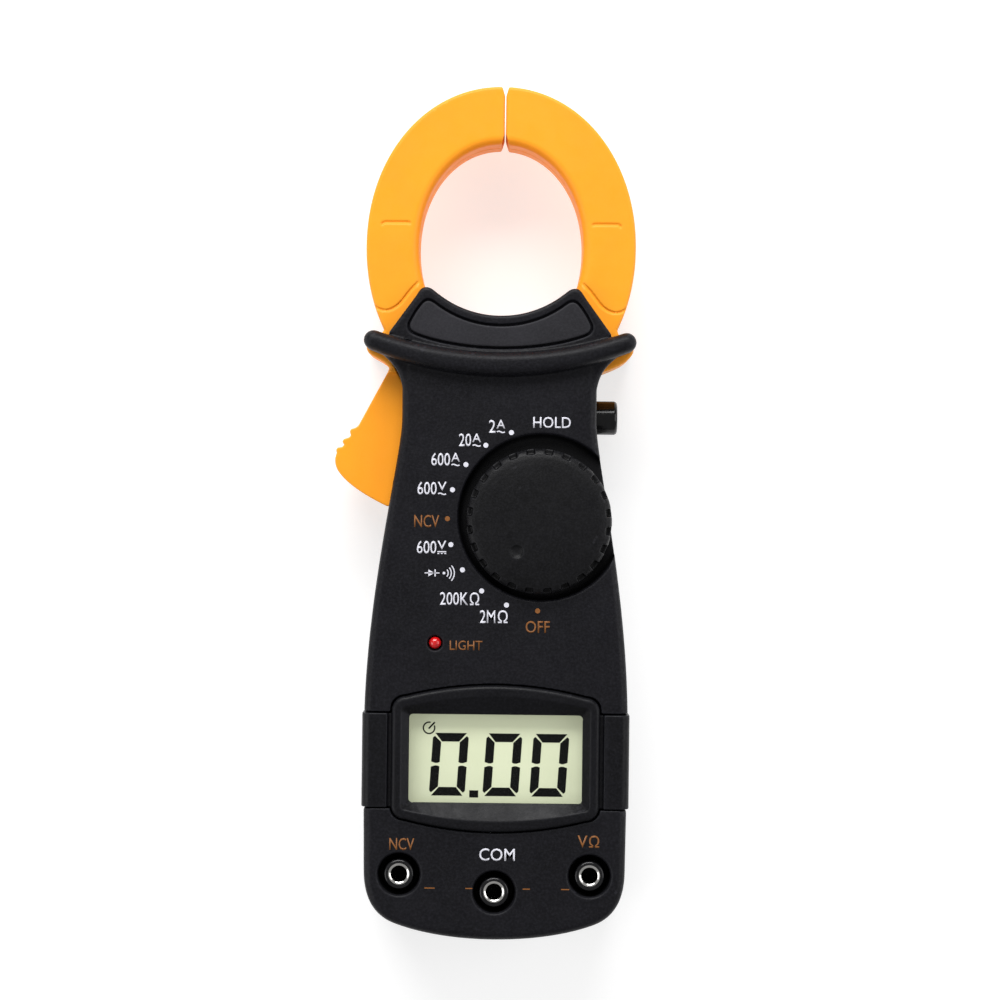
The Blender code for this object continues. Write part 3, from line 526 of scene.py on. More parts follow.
def rear_shell():
    outline = body_outline()
    solid = loft("rear_solid", edge_rings(outline, REAR_LOW[2], SPLIT_LOW, 2.4, 7, at_top=False))
    subtract(solid, prism("hollow", inset(outline, WALL), WALL, 24),
             box("jaw_way", -40, 66.5, REAR_PLATE_Z, 40, 90, 24),
             box("trigger_way", -40, 33.6, 7.7, -18, 67, 24))
    lip = prism("lip", inset(outline, 0.5), SPLIT_LOW - 1, SPLIT_HIGH - 0.03)      # closes the parting gap
    subtract(lip, prism("lip_inside", inset(outline, WALL), 10, 24),
             box("lip_jaw_way", -40, 66.5, 10, 40, 90, 24),
             box("lip_trigger_way", -40, 33.6, 10, -18, 67, 24))
    unite(solid, lip)
    unite(solid, loft("cradle", edge_rings(cradle_outline(), 2.5, REAR_PLATE_Z, 0.8, at_top=False)))
    rings = []
    for angle in quarter(6):
        half_width = 1.2 + (GUARD_HALF_WIDTH - 1.2) * math.sin(angle)
        rings.append((guard_outline(half_width), 1.8 * (1 - math.cos(angle))))
    unite(solid, loft("guard", rings + [(guard_outline(GUARD_HALF_WIDTH), REAR_PLATE_Z)]))
    cover_low, cover_high = node_box("battery_cover")
    well = rounded_rectangle(*(v - 0.3 for v in cover_low[:2]), *(v + 0.3 for v in cover_high[:2]), 2.5)
    unite(solid, prism("bay", inset(well, -1.6), 1.0, 6.0))
    for name in CASE_SCREWS:
        spot = node_centre(name)[:2]
        unite(solid, cylinder("boss", spot, 4.2, 1.0, SPLIT_LOW, 40))
        subtract(solid, turned_z("sink", spot, [(-1, 3.3), (0.0, 3.3), (0.5, 2.9), (2.7, 2.9)], 40),
                 cylinder("pilot", spot, 1.6, -1, 24, 40))
    subtract(solid, prism("cover_opening", well, -1.0, 2.1),
             prism("bay_opening", inset(well, 1.4), -1.0, 12.0),
             hold_hole(),
             cylinder("pin_hole", PIVOT, PIN_HOLE_RADIUS, 2.7, 20))
    buzzer = node_centre("buzzer")
    for i in range(5):
        y = buzzer[1] + 2.2 * (i - 2)
        half = 5.0 - 0.55 * (i - 2) ** 2
        slot = rounded_rectangle(buzzer[0] - half, y - 0.55, buzzer[0] + half, y + 0.55, 0.54)
        subtract(solid, prism("slot", slot, -1, 5))
    return moulded("rear_shell", solid, FINE)


def display_surround():
    """Band round the case with the arched bezel on it."""
    top = FRAME_HIGH[2] - 0.9
    profile = [(31.75, 20.0), (32.45, 20.0), (32.75, 20.4), (32.75, 28.9)]
    for angle in quarter(7)[1:]:
        profile.append((30.55 + 2.2 * math.cos(angle), 28.9 + (top - 28.9) * math.sin(angle)))
    inner = [(-31.75, 20.0), (-31.75, FRAME_LOW[2]), (31.75, FRAME_LOW[2])]
    section = profile + [(-x, z) for x, z in reversed(profile)] + inner
    loops = [[(x, y, z) for x, z in section] for y in (BAND_HIGH_Y - 0.35, BAND_LOW_Y + 0.35)]
    solid = skin("band", loops)
    subtract(solid, prism("moat", bezel_outline(1.1, 4.2), 30.3, 45))
    outer = bezel_outline(0.0)
    unite(solid, loft("bezel", edge_rings(outer, FRAME_LOW[2], FRAME_HIGH[2], 1.0, 5)))
    x0, y0, x1, y1 = VIEW
    rim = inset(outer, 2.0)
    centre = ((x0 + x1) / 2, (y0 + y1) / 2)

    def on_view(point, grow):
        """The window edge's point in the same direction as a point of the rim."""
        half_x, half_y = (x1 - x0) / 2 + grow, (y1 - y0) / 2 + grow
        across = min(max(point[0] - centre[0], -half_x), half_x)
        up = min(max(point[1] - centre[1], -half_y), half_y)
        return centre[0] + across, centre[1] + up

    window = [on_view(point, 0.0) for point in rim]
    funnel = loft("funnel", [(window, 30.15), (rim, FRAME_HIGH[2] + 0.25), (rim, 40.0)])
    subtract(solid, funnel, prism("view", rounded_rectangle(x0, y0, x1, y1, 0.9), 20, 40),
             box("window_pocket", -23.7, -39.7, 20, 23.7, -13.6, 29.95))
    return moulded("display_surround", solid, FINE * 0.8, 2)


def cover_piece():
    low, high = node_box("battery_cover")
    outline = rounded_rectangle(low[0], low[1], high[0], high[1], 2.2)
    solid = loft("cover", edge_rings(outline, low[2], high[2], 0.5, 4, at_top=False))
    screw = node_centre("battery_cover_screw")[:2]
    subtract(solid, cylinder("sink", screw, 2.4, -1, 1.0, 40), cylinder("hole", screw, 1.5, -1, 3, 40))
    for i in range(7):
        y = high[1] - 4.0 - 1.5 * i
        reach = 9.0 - 0.9 * abs(i - 3)
        subtract(solid, prism("rib", rounded_rectangle(-reach, y - 0.4, reach, y + 0.4, 0.39), -1, 0.5))
    arrow = [(-3.0, high[1] - 17.5), (0.0, high[1] - 20.5), (3.0, high[1] - 17.5), (0.0, high[1] - 18.6)]
    subtract(solid, prism("arrow", arrow, -1, 0.45))
    return moulded("battery_door", solid, FINE * 0.8, 2)


# ---------------------------------------------------------------- jaws

def jaw_grooves(side):
    """Fine moulded lines on a jaw's face: a short step, and the lower edge of its raised pad."""
    step = [(side * 29.6, 104.2), (side * 28.8, 104.8), (side * 22.8, 104.8), (side * 22.2, 104.4)]
    hem = smooth_line([(side * x, y) for x, y in ((31.6, 84.6), (29.6, 83.3), (27.4, 83.2), (25.0, 84.6),
                                                  (22.6, 87.6), (20.4, 90.0), (18.6, 91.0))])
    return strip(step, 0.32), strip(hem, 0.32)


def jaw_half(name, outline, side, front):
    """One shell of a jaw: soft outer edge, wider soft edge round the window, notches at the slit."""
    low, high = (SPLIT_HIGH, JAW_FRONT_HIGH[2]) if front else (JAW_REAR_LOW[2], SPLIT_LOW)
    solid = loft(name, edge_rings(outline, low, high, 0.7, 4, at_top=front))
    face = high if front else low
    sign = 1 if front else -1
    slope = [(superellipse(grown(JAW_INNER, -0.4), 0, 356, 110), face - sign * 4)]
    for angle in quarter(7):
        grow = 2.17 * (1 - math.cos(angle)) - 0.07
        rise = -2.4 * (1 - math.sin(angle))
        slope.append((superellipse(grown(JAW_INNER, grow), 0, 356, 110), face + sign * rise))
    slope.append((superellipse(grown(JAW_INNER, 2.1), 0, 356, 110), face + sign * 3))
    if not front:
        slope.reverse()
    cutter = loft("window_slope", slope)
    change(cutter, box("slope_limit", -40, 85.5, 0, 40, 140, 40), "INTERSECT")
    subtract(solid, cutter)
    subtract(solid, prism("channel", core_channel(side), 11.7, 20.3))
    outer_notch = [(SLIT_X - 0.95, TIP_OUTER_Y + 0.4), (SLIT_X, TIP_OUTER_Y - 2.8),
                   (SLIT_X + 0.95, TIP_OUTER_Y + 0.4)]
    inner_notch = [(SLIT_X - 1.05, TIP_INNER_Y - 0.4), (SLIT_X + 1.05, TIP_INNER_Y - 0.4),
                   (SLIT_X, TIP_INNER_Y + 3.0)]
    for notch in (outer_notch, inner_notch):
        subtract(solid, prism("notch", notch, low - 1, high + 1))
    for groove in jaw_grooves(side):
        span = (face - 0.5, face + 2) if front else (face - 2, face + 0.5)
        subtract(solid, prism("groove", groove, *span))
    return solid


def moving_jaw():
    outline = moving_jaw_outline()
    front = jaw_half("moving_front", outline, -1, True)
    spring_way = [(-27.0, 71.0), (-19.6, 57.5), (-10.0, 57.5), (-10.0, 66.0), (-20.0, 72.0)]
    subtract(front, box("trigger_top", -50, 20, 24.0, -8, 67.8, 40),
             cylinder("pin", PIVOT, PIN_HOLE_RADIUS, 5, 40),
             cylinder("spring_pocket", PIVOT, 4.8, 21.3, 40),
             prism("spring_way", spring_way, 21.3, 40))
    rear = jaw_half("moving_rear", outline, -1, False)
    subtract(rear, box("trigger_low", -50, 20, 0, -8, 67.8, 8.0),
             cylinder("pin", PIVOT, PIN_HOLE_RADIUS, 5, 40))
    return (moulded("moving_jaw_front", front, FINE), moulded("moving_jaw_rear", rear, FINE))


def fixed_jaw():
    outline = fixed_jaw_outline()
    peg = (-PIVOT[0], PIVOT[1])
    halves = []
    for front in (True, False):
        solid = jaw_half("fixed_half", outline, 1, front)
        subtract(solid, cylinder("peg", peg, 1.9, 5, 40))
        halves.append(moulded("fixed_jaw_front" if front else "fixed_jaw_rear", solid, FINE))
    return halves


# ---------------------------------------------------------------- knob, button, sockets, lamp

def knob_cap():
    base = KNOB_HIGH[2] - 7.7
    profile = [(base, KNOB_RADIUS - 0.5), (base + 0.5, KNOB_RADIUS), (32.4, KNOB_RADIUS),
               (33.3, KNOB_RADIUS - 0.15), (34.0, KNOB_RADIUS - 0.6), (34.45, KNOB_RADIUS - 1.3),
               (34.75, KNOB_RADIUS - 2.4), (35.0, KNOB_RADIUS - 4.0), (35.3, 10.5), (35.5, 7.0),
               (KNOB_HIGH[2], 3.0)]
    solid = turned_z("knob_solid", KNOB, profile, 144)
    inner, outer, half = KNOB_RADIUS - 1.45, KNOB_RADIUS + 1.0, 1.2
    corners = [(inner, -half * 0.8), (outer, -half), (outer, half), (inner, half * 0.8)]
    for tooth in range(KNOB_TEETH):
        angle = math.radians(7.5 + 360 * tooth / KNOB_TEETH)
        subtract(solid, prism("gap", turned(corners, KNOB, angle), 30.6, 45))
    dimple = [(34.75, 0.5), (34.85, 1.0), (35.1, 1.45), (35.5, 1.75), (36, 1.9)]
    subtract(solid, turned_z("dimple", polar(KNOB, 9.2, math.radians(234.0)), dimple, 40))
    unite(solid, cylinder("shaft", KNOB, 4.0, KNOB_LOW[2], base + 2, 40))
    subtract(solid, cylinder("bore", KNOB, 1.3, 20, 30.5, 24))
    for angle in (90, 270):
        subtract(solid, cylinder("ball_bore", polar(KNOB, 13.0, math.radians(angle)), 1.6, 20, 33.2, 24))
    return moulded("knob_cap", solid, FINE * 0.85, 2)


def hold_cap():
    radius, end = 4.2, HOLD_HIGH[0]
    profile = [(HOLD_LOW[0], 5.2), (HOLD_LOW[0] + 0.8, 5.2), (HOLD_LOW[0] + 0.81, radius)]
    profile += [(end - 0.9 + 0.9 * math.sin(a), radius - 0.9 + 0.9 * math.cos(a))
                for a in quarter(8)]
    profile += [(end - 0.12, radius - 1.5), (end - 0.3, 1.0)]
    return moulded("hold_cap", turned_x("hold_solid", HOLD_Y, SEAM_Z, profile, 96))


def socket_sleeves():
    """Black insulating sleeve round each metal socket, with a rounded lip."""
    sleeves = []
    for name, (x, y) in JACKS.items():
        top = node_box(name)[1][2]
        profile = [(21.6, 4.1), (22.4, 4.1), (22.6, 3.6), (top, 3.6)]
        profile += [(top + 0.5 * math.sin(a), 3.1 + 0.5 * math.cos(a)) for a in (0.5, 1.0, 1.5)]
        solid = turned_z("sleeve", (x, y), profile, 72)
        subtract(solid, cylinder("sleeve_bore", (x, y), 2.82, 15, top + 0.1, 72),
                 cylinder("sleeve_mouth", (x, y), 2.75, 15, 40, 72))
        sleeves.append(moulded(name.replace("input_jack", "socket_sleeve"), solid))
    return sleeves


def socket_metal(name):
    """Turned metal socket with a chamfered mouth, and its tab."""
    x, y = JACKS[name]
    low, high = node_box(name)
    profile = [(low[2], 2.55), (low[2] + 0.4, 2.7), (18.2, 2.7), (18.21, 4.2), (19.3, 4.2),
               (19.31, 2.7), (high[2] - 0.1, 2.7), (high[2], 2.62)]
    solid = turned_z("socket", (x, y), profile, 96)
    lug = -45.3
    unite(solid, box("tab", x - 1.4, y + 3.0, 18.4, x + 1.4, lug + 0.8, 19.1),
          box("lug", x - 1.4, lug, 18.4, x + 1.4, lug + 0.9, high[2] - 9.8))
    bore = [(low[2] + 1.0, 2.05), (high[2] - 0.28, 2.05), (high[2], 2.5), (40, 2.5)]
    subtract(solid, turned_z("bore", (x, y), bore, 96))
    return moulded(name.replace("input_jack", "socket"), solid)


def lamp():
    low, high = node_box("led")
    centre = node_centre("led")[:2]
    profile = [(low[2], 1.5), (30.0, 1.5)]
    profile += [(30.0 + (high[2] - 30.0) * math.sin(a), 1.5 * math.cos(a)) for a in quarter(10)[1:-1]]
    profile.append((high[2], 0.12))
    return moulded("led_lens", turned_z("lamp", centre, profile, 64))


def screw(name):
    """Screw whose head faces down, with a cross recess."""
    low, high = node_box(name)
    x, y = node_centre(name)[:2]
    head = (high[0] - low[0]) / 2
    shank = 1.25 if head > 2.2 else 0.95
    neck = low[2] + (1.9 if head > 2.2 else 0.9)
    profile = [(low[2] + 0.1, head * 0.45), (low[2], head * 0.6), (low[2] + 0.15, head * 0.86),
               (low[2] + 0.5, head), (neck, head), (neck + 0.05, shank), (high[2] - 1.0, shank),
               (high[2], 0.4)]
    if head < 2.2:
        profile = [(low[2], head * 0.8), (low[2] + 0.15, head), (low[2] + 0.5, head),
                   (low[2] + 0.95, shank), (high[2] - 0.8, shank), (high[2], 0.35)]
    solid = turned_z("screw", (x, y), profile, 64)
    wide, reach = 0.28 * head / 2, head * 0.55
    for turn in (0, math.pi / 2):
        arm = turned(rectangle(-reach, -wide, reach, wide), (x, y), turn + 0.6)
        subtract(solid, prism("recess", arm, low[2] - 1, low[2] + head * 0.45))
    return moulded(name + "_head", solid)


# ---------------------------------------------------------------- display

def polygon_plate(name, outlines, low, high):
    """Flat plates, one for each outline, as one piece in metres."""
    maker = bmesh.new()
    for outline in outlines:
        bottom = [maker.verts.new((x, y, low)) for x, y in outline]
        top = [maker.verts.new((x, y, high)) for x, y in outline]
        count = len(outline)
        for i in range(count):
            j = (i + 1) % count
            maker.faces.new((bottom[i], bottom[j], top[j], top[i]))
        maker.faces.new(list(reversed(bottom)))
        maker.faces.new(top)
    bmesh.ops.scale(maker, vec=(MM, MM, MM), verts=maker.verts)
    return from_bmesh(name, maker)


def digit_segments(x, y, wide, tall, stroke, lean, gap=0.32):
    """Six lit segments of a zero whose lower left corner is (x, y)."""
    half = tall / 2

    def slanted(points):
        return [(x + a + lean * b / tall, y + b) for a, b in points]

    s, g = stroke, gap
    top = [(g + s * 0.1, tall), (s + g * 0.6, tall - s), (wide - s - g * 0.6, tall - s),
           (wide - g - s * 0.1, tall)]
    bottom = [(a, tall - b) for a, b in reversed(top)]
    left_high = [(0, half + g * 2), (s * 0.45, half + g), (s * 0.75, half + g), (s, half + g * 1.8),
                 (s, tall - s - g * 0.5), (0.5, tall - g * 1.3 - 0.35),
                 (0.15, tall - g * 1.6 - 0.5), (0, tall - g * 2.2 - 0.6)]
    right_high = [(wide - a, b) for a, b in reversed(left_high)]
    left_low = [(a, tall - b) for a, b in reversed(left_high)]
    right_low = [(wide - a, tall - b) for a, b in left_high]
    return [slanted(part) for part in (top, bottom, left_high, right_high, left_low, right_low)]


def ring_arc(centre, radius, stroke, start, end, steps=24):
    outer = arc(centre, radius + stroke / 2, start, end, steps)
    inner = arc(centre, radius - stroke / 2, start, end, steps)
    return outer + list(reversed(inner))


def lcd_digits():
    outlines = []
    for x in (-16.3, -3.15, 8.4):
        outlines += digit_segments(x, -36.1, 8.8, 15.4, 2.1, 0.95)
    outlines.append(rectangle(-6.35, -36.5, -4.15, -34.75))
    outlines.append(ring_arc((-16.4, -19.5), 1.4, 0.34, 75, 385))
    outlines.append(strip([(-16.5, -19.7), (-15.0, -18.1)], 0.2))
    top = LCD_HIGH[2]
    return polygon_plate("lcd_digits", outlines, top + 0.03, top + 0.07)


def thin_sheet(name, low, high, corner):
    """Flat pane with its front edge eased."""
    outline = rounded_rectangle(low[0], low[1], high[0], high[1], corner)
    return moulded(name, loft("pane", edge_rings(outline, low[2], high[2], 0.15, 2)))


# ---------------------------------------------------------------- printed marks

MARK_Z = (FRONT_Z - 0.02, FRONT_Z + 0.05)
DOT_CENTRE = (9.9, 32.0)
DOT_RADIUS = 22.3


def text_piece(text, x0, x1, y0, tall):
    """Flat lettering stretched to fill the given box, as a mesh in mm."""
    curve = bpy.data.curves.new("text", "FONT")
    curve.body = text
    curve.resolution_u = 3
    curve.offset = 0.006
    thing = new_object("text", curve)
    graph = bpy.context.evaluated_depsgraph_get()
    graph.update()
    mesh = bpy.data.meshes.new_from_object(thing.evaluated_get(graph))
    bpy.data.objects.remove(thing, do_unlink=True)
    xs = [v.co.x for v in mesh.vertices]
    ys = [v.co.y for v in mesh.vertices]
    for v in mesh.vertices:
        v.co.x = x0 + (v.co.x - min(xs)) / (max(xs) - min(xs)) * (x1 - x0)
        v.co.y = y0 + (v.co.y - min(ys)) / (max(ys) - min(ys)) * tall
    return mesh


def marks(name, texts, outlines):
    """Letters and shapes as one thin print."""
    maker = bmesh.new()
    for text in texts:
        mesh = text_piece(*text)
        maker.from_mesh(mesh)
        bpy.data.meshes.remove(mesh)
    for outline in outlines:
        maker.faces.new([maker.verts.new((x, y, 0.0)) for x, y in outline])
    bmesh.ops.remove_doubles(maker, verts=maker.verts, dist=1e-4)
    bmesh.ops.recalc_face_normals(maker, faces=maker.faces)
    for face in maker.faces:
        if face.normal.z < 0:
            face.normal_flip()
    for v in maker.verts:
        v.co.z = MARK_Z[0]
    grown = bmesh.ops.extrude_face_region(maker, geom=list(maker.faces))
    for v in (g for g in grown["geom"] if isinstance(g, bmesh.types.BMVert)):
        v.co.z = MARK_Z[1]
    bmesh.ops.scale(maker, vec=(MM, MM, MM), verts=maker.verts)
    return from_bmesh(name, maker)


def dot(degrees):
    return circle(polar(DOT_CENTRE, DOT_RADIUS, math.radians(degrees)), 0.62, 24)


def wave(x0, x1, y):
    points = [(x0 + (x1 - x0) * i / 12, y + 0.16 * math.sin(2 * math.pi * i / 12)) for i in range(13)]
    return strip(points, 0.15)


def range_mark(number, unit, x0, x1, y0, direct=False):
    """A number with its unit raised over a bar: wavy for alternating, dotted for direct."""
    unit_wide = 2.15
    split = x1 - unit_wide
    texts = [(number, x0, split - 0.25, y0, 3.15), (unit, split, x1, y0 + 1.05, 2.15)]
    shapes = [wave(split + 0.1, x1 - 0.1, y0 + 0.25)]
    if direct:
        shapes = [rectangle(split, y0 + 0.38, x1, y0 + 0.64)]
        shapes += [rectangle(split + 0.85 * i, y0 - 0.05, split + 0.85 * i + 0.45, y0 + 0.2)
                   for i in range(3)]
    return texts, shapes


def diode_mark(x, y):
    shapes = [rectangle(x, y - 0.12, x + 3.6, y + 0.12),
              [(x + 0.9, y - 0.85), (x + 2.4, y), (x + 0.9, y + 0.85)],
              rectangle(x + 2.4, y - 0.85, x + 2.7, y + 0.85), circle((x + 4.7, y), 0.34, 16)]
    for i in range(3):
        shapes.append(ring_arc((x + 4.5, y), 1.25 + 0.75 * i, 0.26, -42, 42, 10))
    return shapes


def white_marks():
    texts = [("HOLD", 8.3, 17.5, 54.4, 2.75), ("200K", -14.0, -7.1, 10.9, 3.15),
             ("Ω", -6.7, -4.4, 10.9, 3.15), ("2M", -4.2, -0.4, 6.6, 3.15), ("Ω", 0.2, 2.6, 6.6, 3.15),
             ("COM", -3.7, 5.0, -51.5, 3.05)]
    shapes = [dot(a) for a in (108, 126, 143.5, 161.5, 196.5, 214, 232, 250)] + diode_mark(-17.8, 18.7)
    for setting in (("2", "A", -2.5, 1.5, 53.1), ("20", "A", -9.8, -4.4, 49.7),
                    ("600", "A", -16.5, -9.5, 44.9), ("600", "V", -19.8, -12.7, 37.8),
                    ("600", "V", -19.8, -12.6, 23.4, True)):
        more_texts, more_shapes = range_mark(*setting)
        texts += more_texts
        shapes += more_shapes
    return marks("marks_white", texts, shapes)


def brown_marks():
    texts = [("NCV", -20.5, -14.4, 29.8, 3.05), ("OFF", 7.0, 12.9, 4.3, 2.95),
             ("LIGHT", -11.5, -3.5, -0.1, 2.35), ("NCV", -25.7, -19.6, -49.1, 2.95),
             ("V", 20.3, 22.7, -48.0, 2.95), ("Ω", 23.1, 25.6, -48.0, 2.95)]
    shapes = [dot(180), dot(270)]
    y = -58.3
    for x0, x1 in ((-17.0, -14.5), (-7.0, -5.3), (7.0, 8.8), (16.4, 18.4)):
        shapes.append(rectangle(x0, y - 0.13, x1, y + 0.13))
    return marks("marks_brown", texts, shapes)


# ---------------------------------------------------------------- materials

class Graph:
    """Small helper for building a Principled material."""

    def __init__(self, name, colour, roughness, metallic=0.0):
        self.material = bpy.data.materials.new(name)
        self.material.use_nodes = True
        self.nodes = self.material.node_tree.nodes
        self.links = self.material.node_tree.links
        self.shader = self.nodes["Principled BSDF"]
        self.put("Base Color", (*colour, 1.0))
        self.put("Roughness", roughness)
        self.put("Metallic", metallic)
        self.place = self.nodes.new("ShaderNodeTexCoord").outputs["Object"]

    def put(self, name, value):
        self.shader.inputs[name].default_value = value

    def add(self, kind, **values):
        """New node with the given inputs set; an underscore stands for a space."""
        node = self.nodes.new("ShaderNode" + kind)
        for name, value in values.items():
            node.inputs[name.replace("_", " ")].default_value = value
        return node

    def noise(self, size_mm, detail=2.0, roughness=0.5, stretch=None):
        texture = self.add("TexNoise", Scale=1.0 / (size_mm * MM), Detail=detail, Roughness=roughness)
        source = self.place
        if stretch:
            mapping = self.add("Mapping", Scale=stretch)
            self.links.new(self.place, mapping.inputs["Vector"])
            source = mapping.outputs["Vector"]
        self.links.new(source, texture.inputs["Vector"])
        return texture.outputs["Fac"]

    def cells(self, size_mm):
        texture = self.add("TexVoronoi", Scale=1.0 / (size_mm * MM))
        self.links.new(self.place, texture.inputs["Vector"])
        return texture.outputs["Distance"]

    def band(self, value, low, high, to_low=0.0, to_high=1.0):
        node = self.add("MapRange", From_Min=low, From_Max=high, To_Min=to_low, To_Max=to_high)
        self.links.new(value, node.inputs["Value"])
        return node.outputs["Result"]

    def mix(self, factor, first, second):
        node = self.add("Mix")
        node.data_type = "RGBA"
        self.links.new(factor, node.inputs["Factor"])
        for socket, value in (("A", first), ("B", second)):
            target = next(s for s in node.inputs if s.name == socket and s.type == "RGBA")
            if isinstance(value, tuple):
                target.default_value = (*value, 1.0)
            else:
                self.links.new(value, target)
        return next(s for s in node.outputs if s.type == "RGBA")

    def edges(self):
        """1 on outer edges, 0 elsewhere."""
        return self.band(self.add("NewGeometry").outputs["Pointiness"], 0.505, 0.56)

    def blotches(self, size_mm, detail, low, high, first, second):
        """Two colours in soft patches."""
        self.colour(self.mix(self.band(self.noise(size_mm, detail), low, high), first, second))

    def colour(self, socket):
        self.links.new(socket, self.shader.inputs["Base Color"])

    def rough(self, socket):
        self.links.new(socket, self.shader.inputs["Roughness"])

    def bump(self, *layers):
        """Each layer is (height, depth in mm)."""
        normal = None
        for height, depth in layers:
            node = self.add("Bump", Distance=depth * MM, Strength=1.0)
            self.links.new(height, node.inputs["Height"])
            if normal:
                self.links.new(normal, node.inputs["Normal"])
            normal = node.outputs["Normal"]
        self.links.new(normal, self.shader.inputs["Normal"])


def plastic(name, colour, speckle_and_edge_highlight, roughness, grain_mm, grain_depth, patch=0.18, gloss=0.3, speck=0.30):
    """Spark-eroded moulding: fine grain, faint patches of gloss and colour, and a painted highlight that lightens
    the edges.
    """
    graph = Graph(name, colour, roughness)
    patches = graph.noise(14.0, 3.0, 0.55)
    tinted = graph.mix(graph.band(patches, 0.35, 0.65), tuple(c * (1 - patch) for c in colour),
                       tuple(min(1.0, c * (1 + patch)) for c in colour))
    speckle = graph.band(graph.noise(grain_mm * 1.6, 3.0, 0.7), 0.42, 0.72, 0.0, speck)
    tinted = graph.mix(speckle, tinted, speckle_and_edge_highlight)
    # Painted highlight: outer edges found by pointiness are mixed toward the lighter second colour.
    graph.colour(graph.mix(graph.band(graph.edges(), 0.0, 1.0, 0.0, 0.45), tinted, speckle_and_edge_highlight))
    graph.put("Specular IOR Level", gloss)
    graph.rough(graph.band(graph.noise(3.0, 4.0, 0.6), 0.3, 0.7, roughness - 0.07, roughness + 0.07))
    graph.bump((graph.noise(grain_mm, 2.0, 0.6), grain_depth),
               (graph.cells(grain_mm * 1.7), grain_depth * 0.5))
    return graph.material


def metal(name, colour, roughness, brushed=None):
    graph = Graph(name, colour, roughness, 1.0)
    streaks = graph.noise(0.5, 3.0, 0.6, brushed)
    graph.rough(graph.band(streaks, 0.3, 0.7, roughness * 0.7, roughness * 1.35))
    graph.blotches(2.0, 3.0, 0.3, 0.7, tuple(c * 0.82 for c in colour), colour)
    graph.bump((streaks, 0.003))
    return graph.material


def board_green():
    graph = Graph("board_mask", (0.012, 0.13, 0.05), 0.35)
    lines = graph.add("TexBrick", Scale=1.0 / (3.0 * MM))
    graph.links.new(graph.place, lines.inputs["Vector"])
    graph.colour(graph.mix(lines.outputs["Fac"], (0.012, 0.13, 0.05), (0.03, 0.22, 0.08)))
    graph.bump((lines.outputs["Fac"], 0.03))
    return graph.material


def lcd_green():
    graph = Graph("lcd_field", (0.56, 0.60, 0.42), 0.3)
    graph.blotches(9.0, 2.0, 0.35, 0.65, (0.545, 0.585, 0.405), (0.575, 0.615, 0.435))
    # Painted light: the LCD field glows a little, though it is no lamp.
    graph.put("Emission Color", (0.60, 0.64, 0.44, 1.0))
    graph.put("Emission Strength", 0.42)
    graph.bump((graph.noise(0.12, 1.0), 0.001))
    return graph.material


def lcd_ink():
    graph = Graph("lcd_ink", (0.003, 0.0035, 0.003), 0.5)
    graph.put("Specular IOR Level", 0.1)
    graph.colour(graph.mix(graph.noise(0.6, 2.0), (0.002, 0.0024, 0.002), (0.0045, 0.005, 0.0045)))
    return graph.material


def clear_sheet():
    graph = Graph("clear_acrylic", (0.02, 0.02, 0.02), 0.04)
    graph.put("Alpha", 0.05)
    graph.put("Specular IOR Level", 0.3)
    graph.rough(graph.band(graph.noise(1.5, 3.0), 0.3, 0.7, 0.02, 0.07))
    return graph.material


def print_ink(name, colour):
    graph = Graph(name, colour, 0.5)
    speckle = graph.band(graph.noise(0.22, 3.0, 0.7), 0.28, 0.5)
    graph.colour(graph.mix(speckle, tuple(c * 0.6 for c in colour), colour))
    graph.bump((graph.noise(0.1, 2.0), 0.004))
    return graph.material


def lamp_red():
    graph = Graph("lamp_red", (0.55, 0.004, 0.006), 0.12)
    graph.put("Coat Weight", 0.6)
    graph.put("Subsurface Weight", 0.25)
    graph.put("Subsurface Radius", (0.002, 0.0004, 0.0004))
    graph.blotches(1.2, 2.0, 0.3, 0.7, (0.42, 0.003, 0.004), (0.68, 0.006, 0.008))
    return graph.material
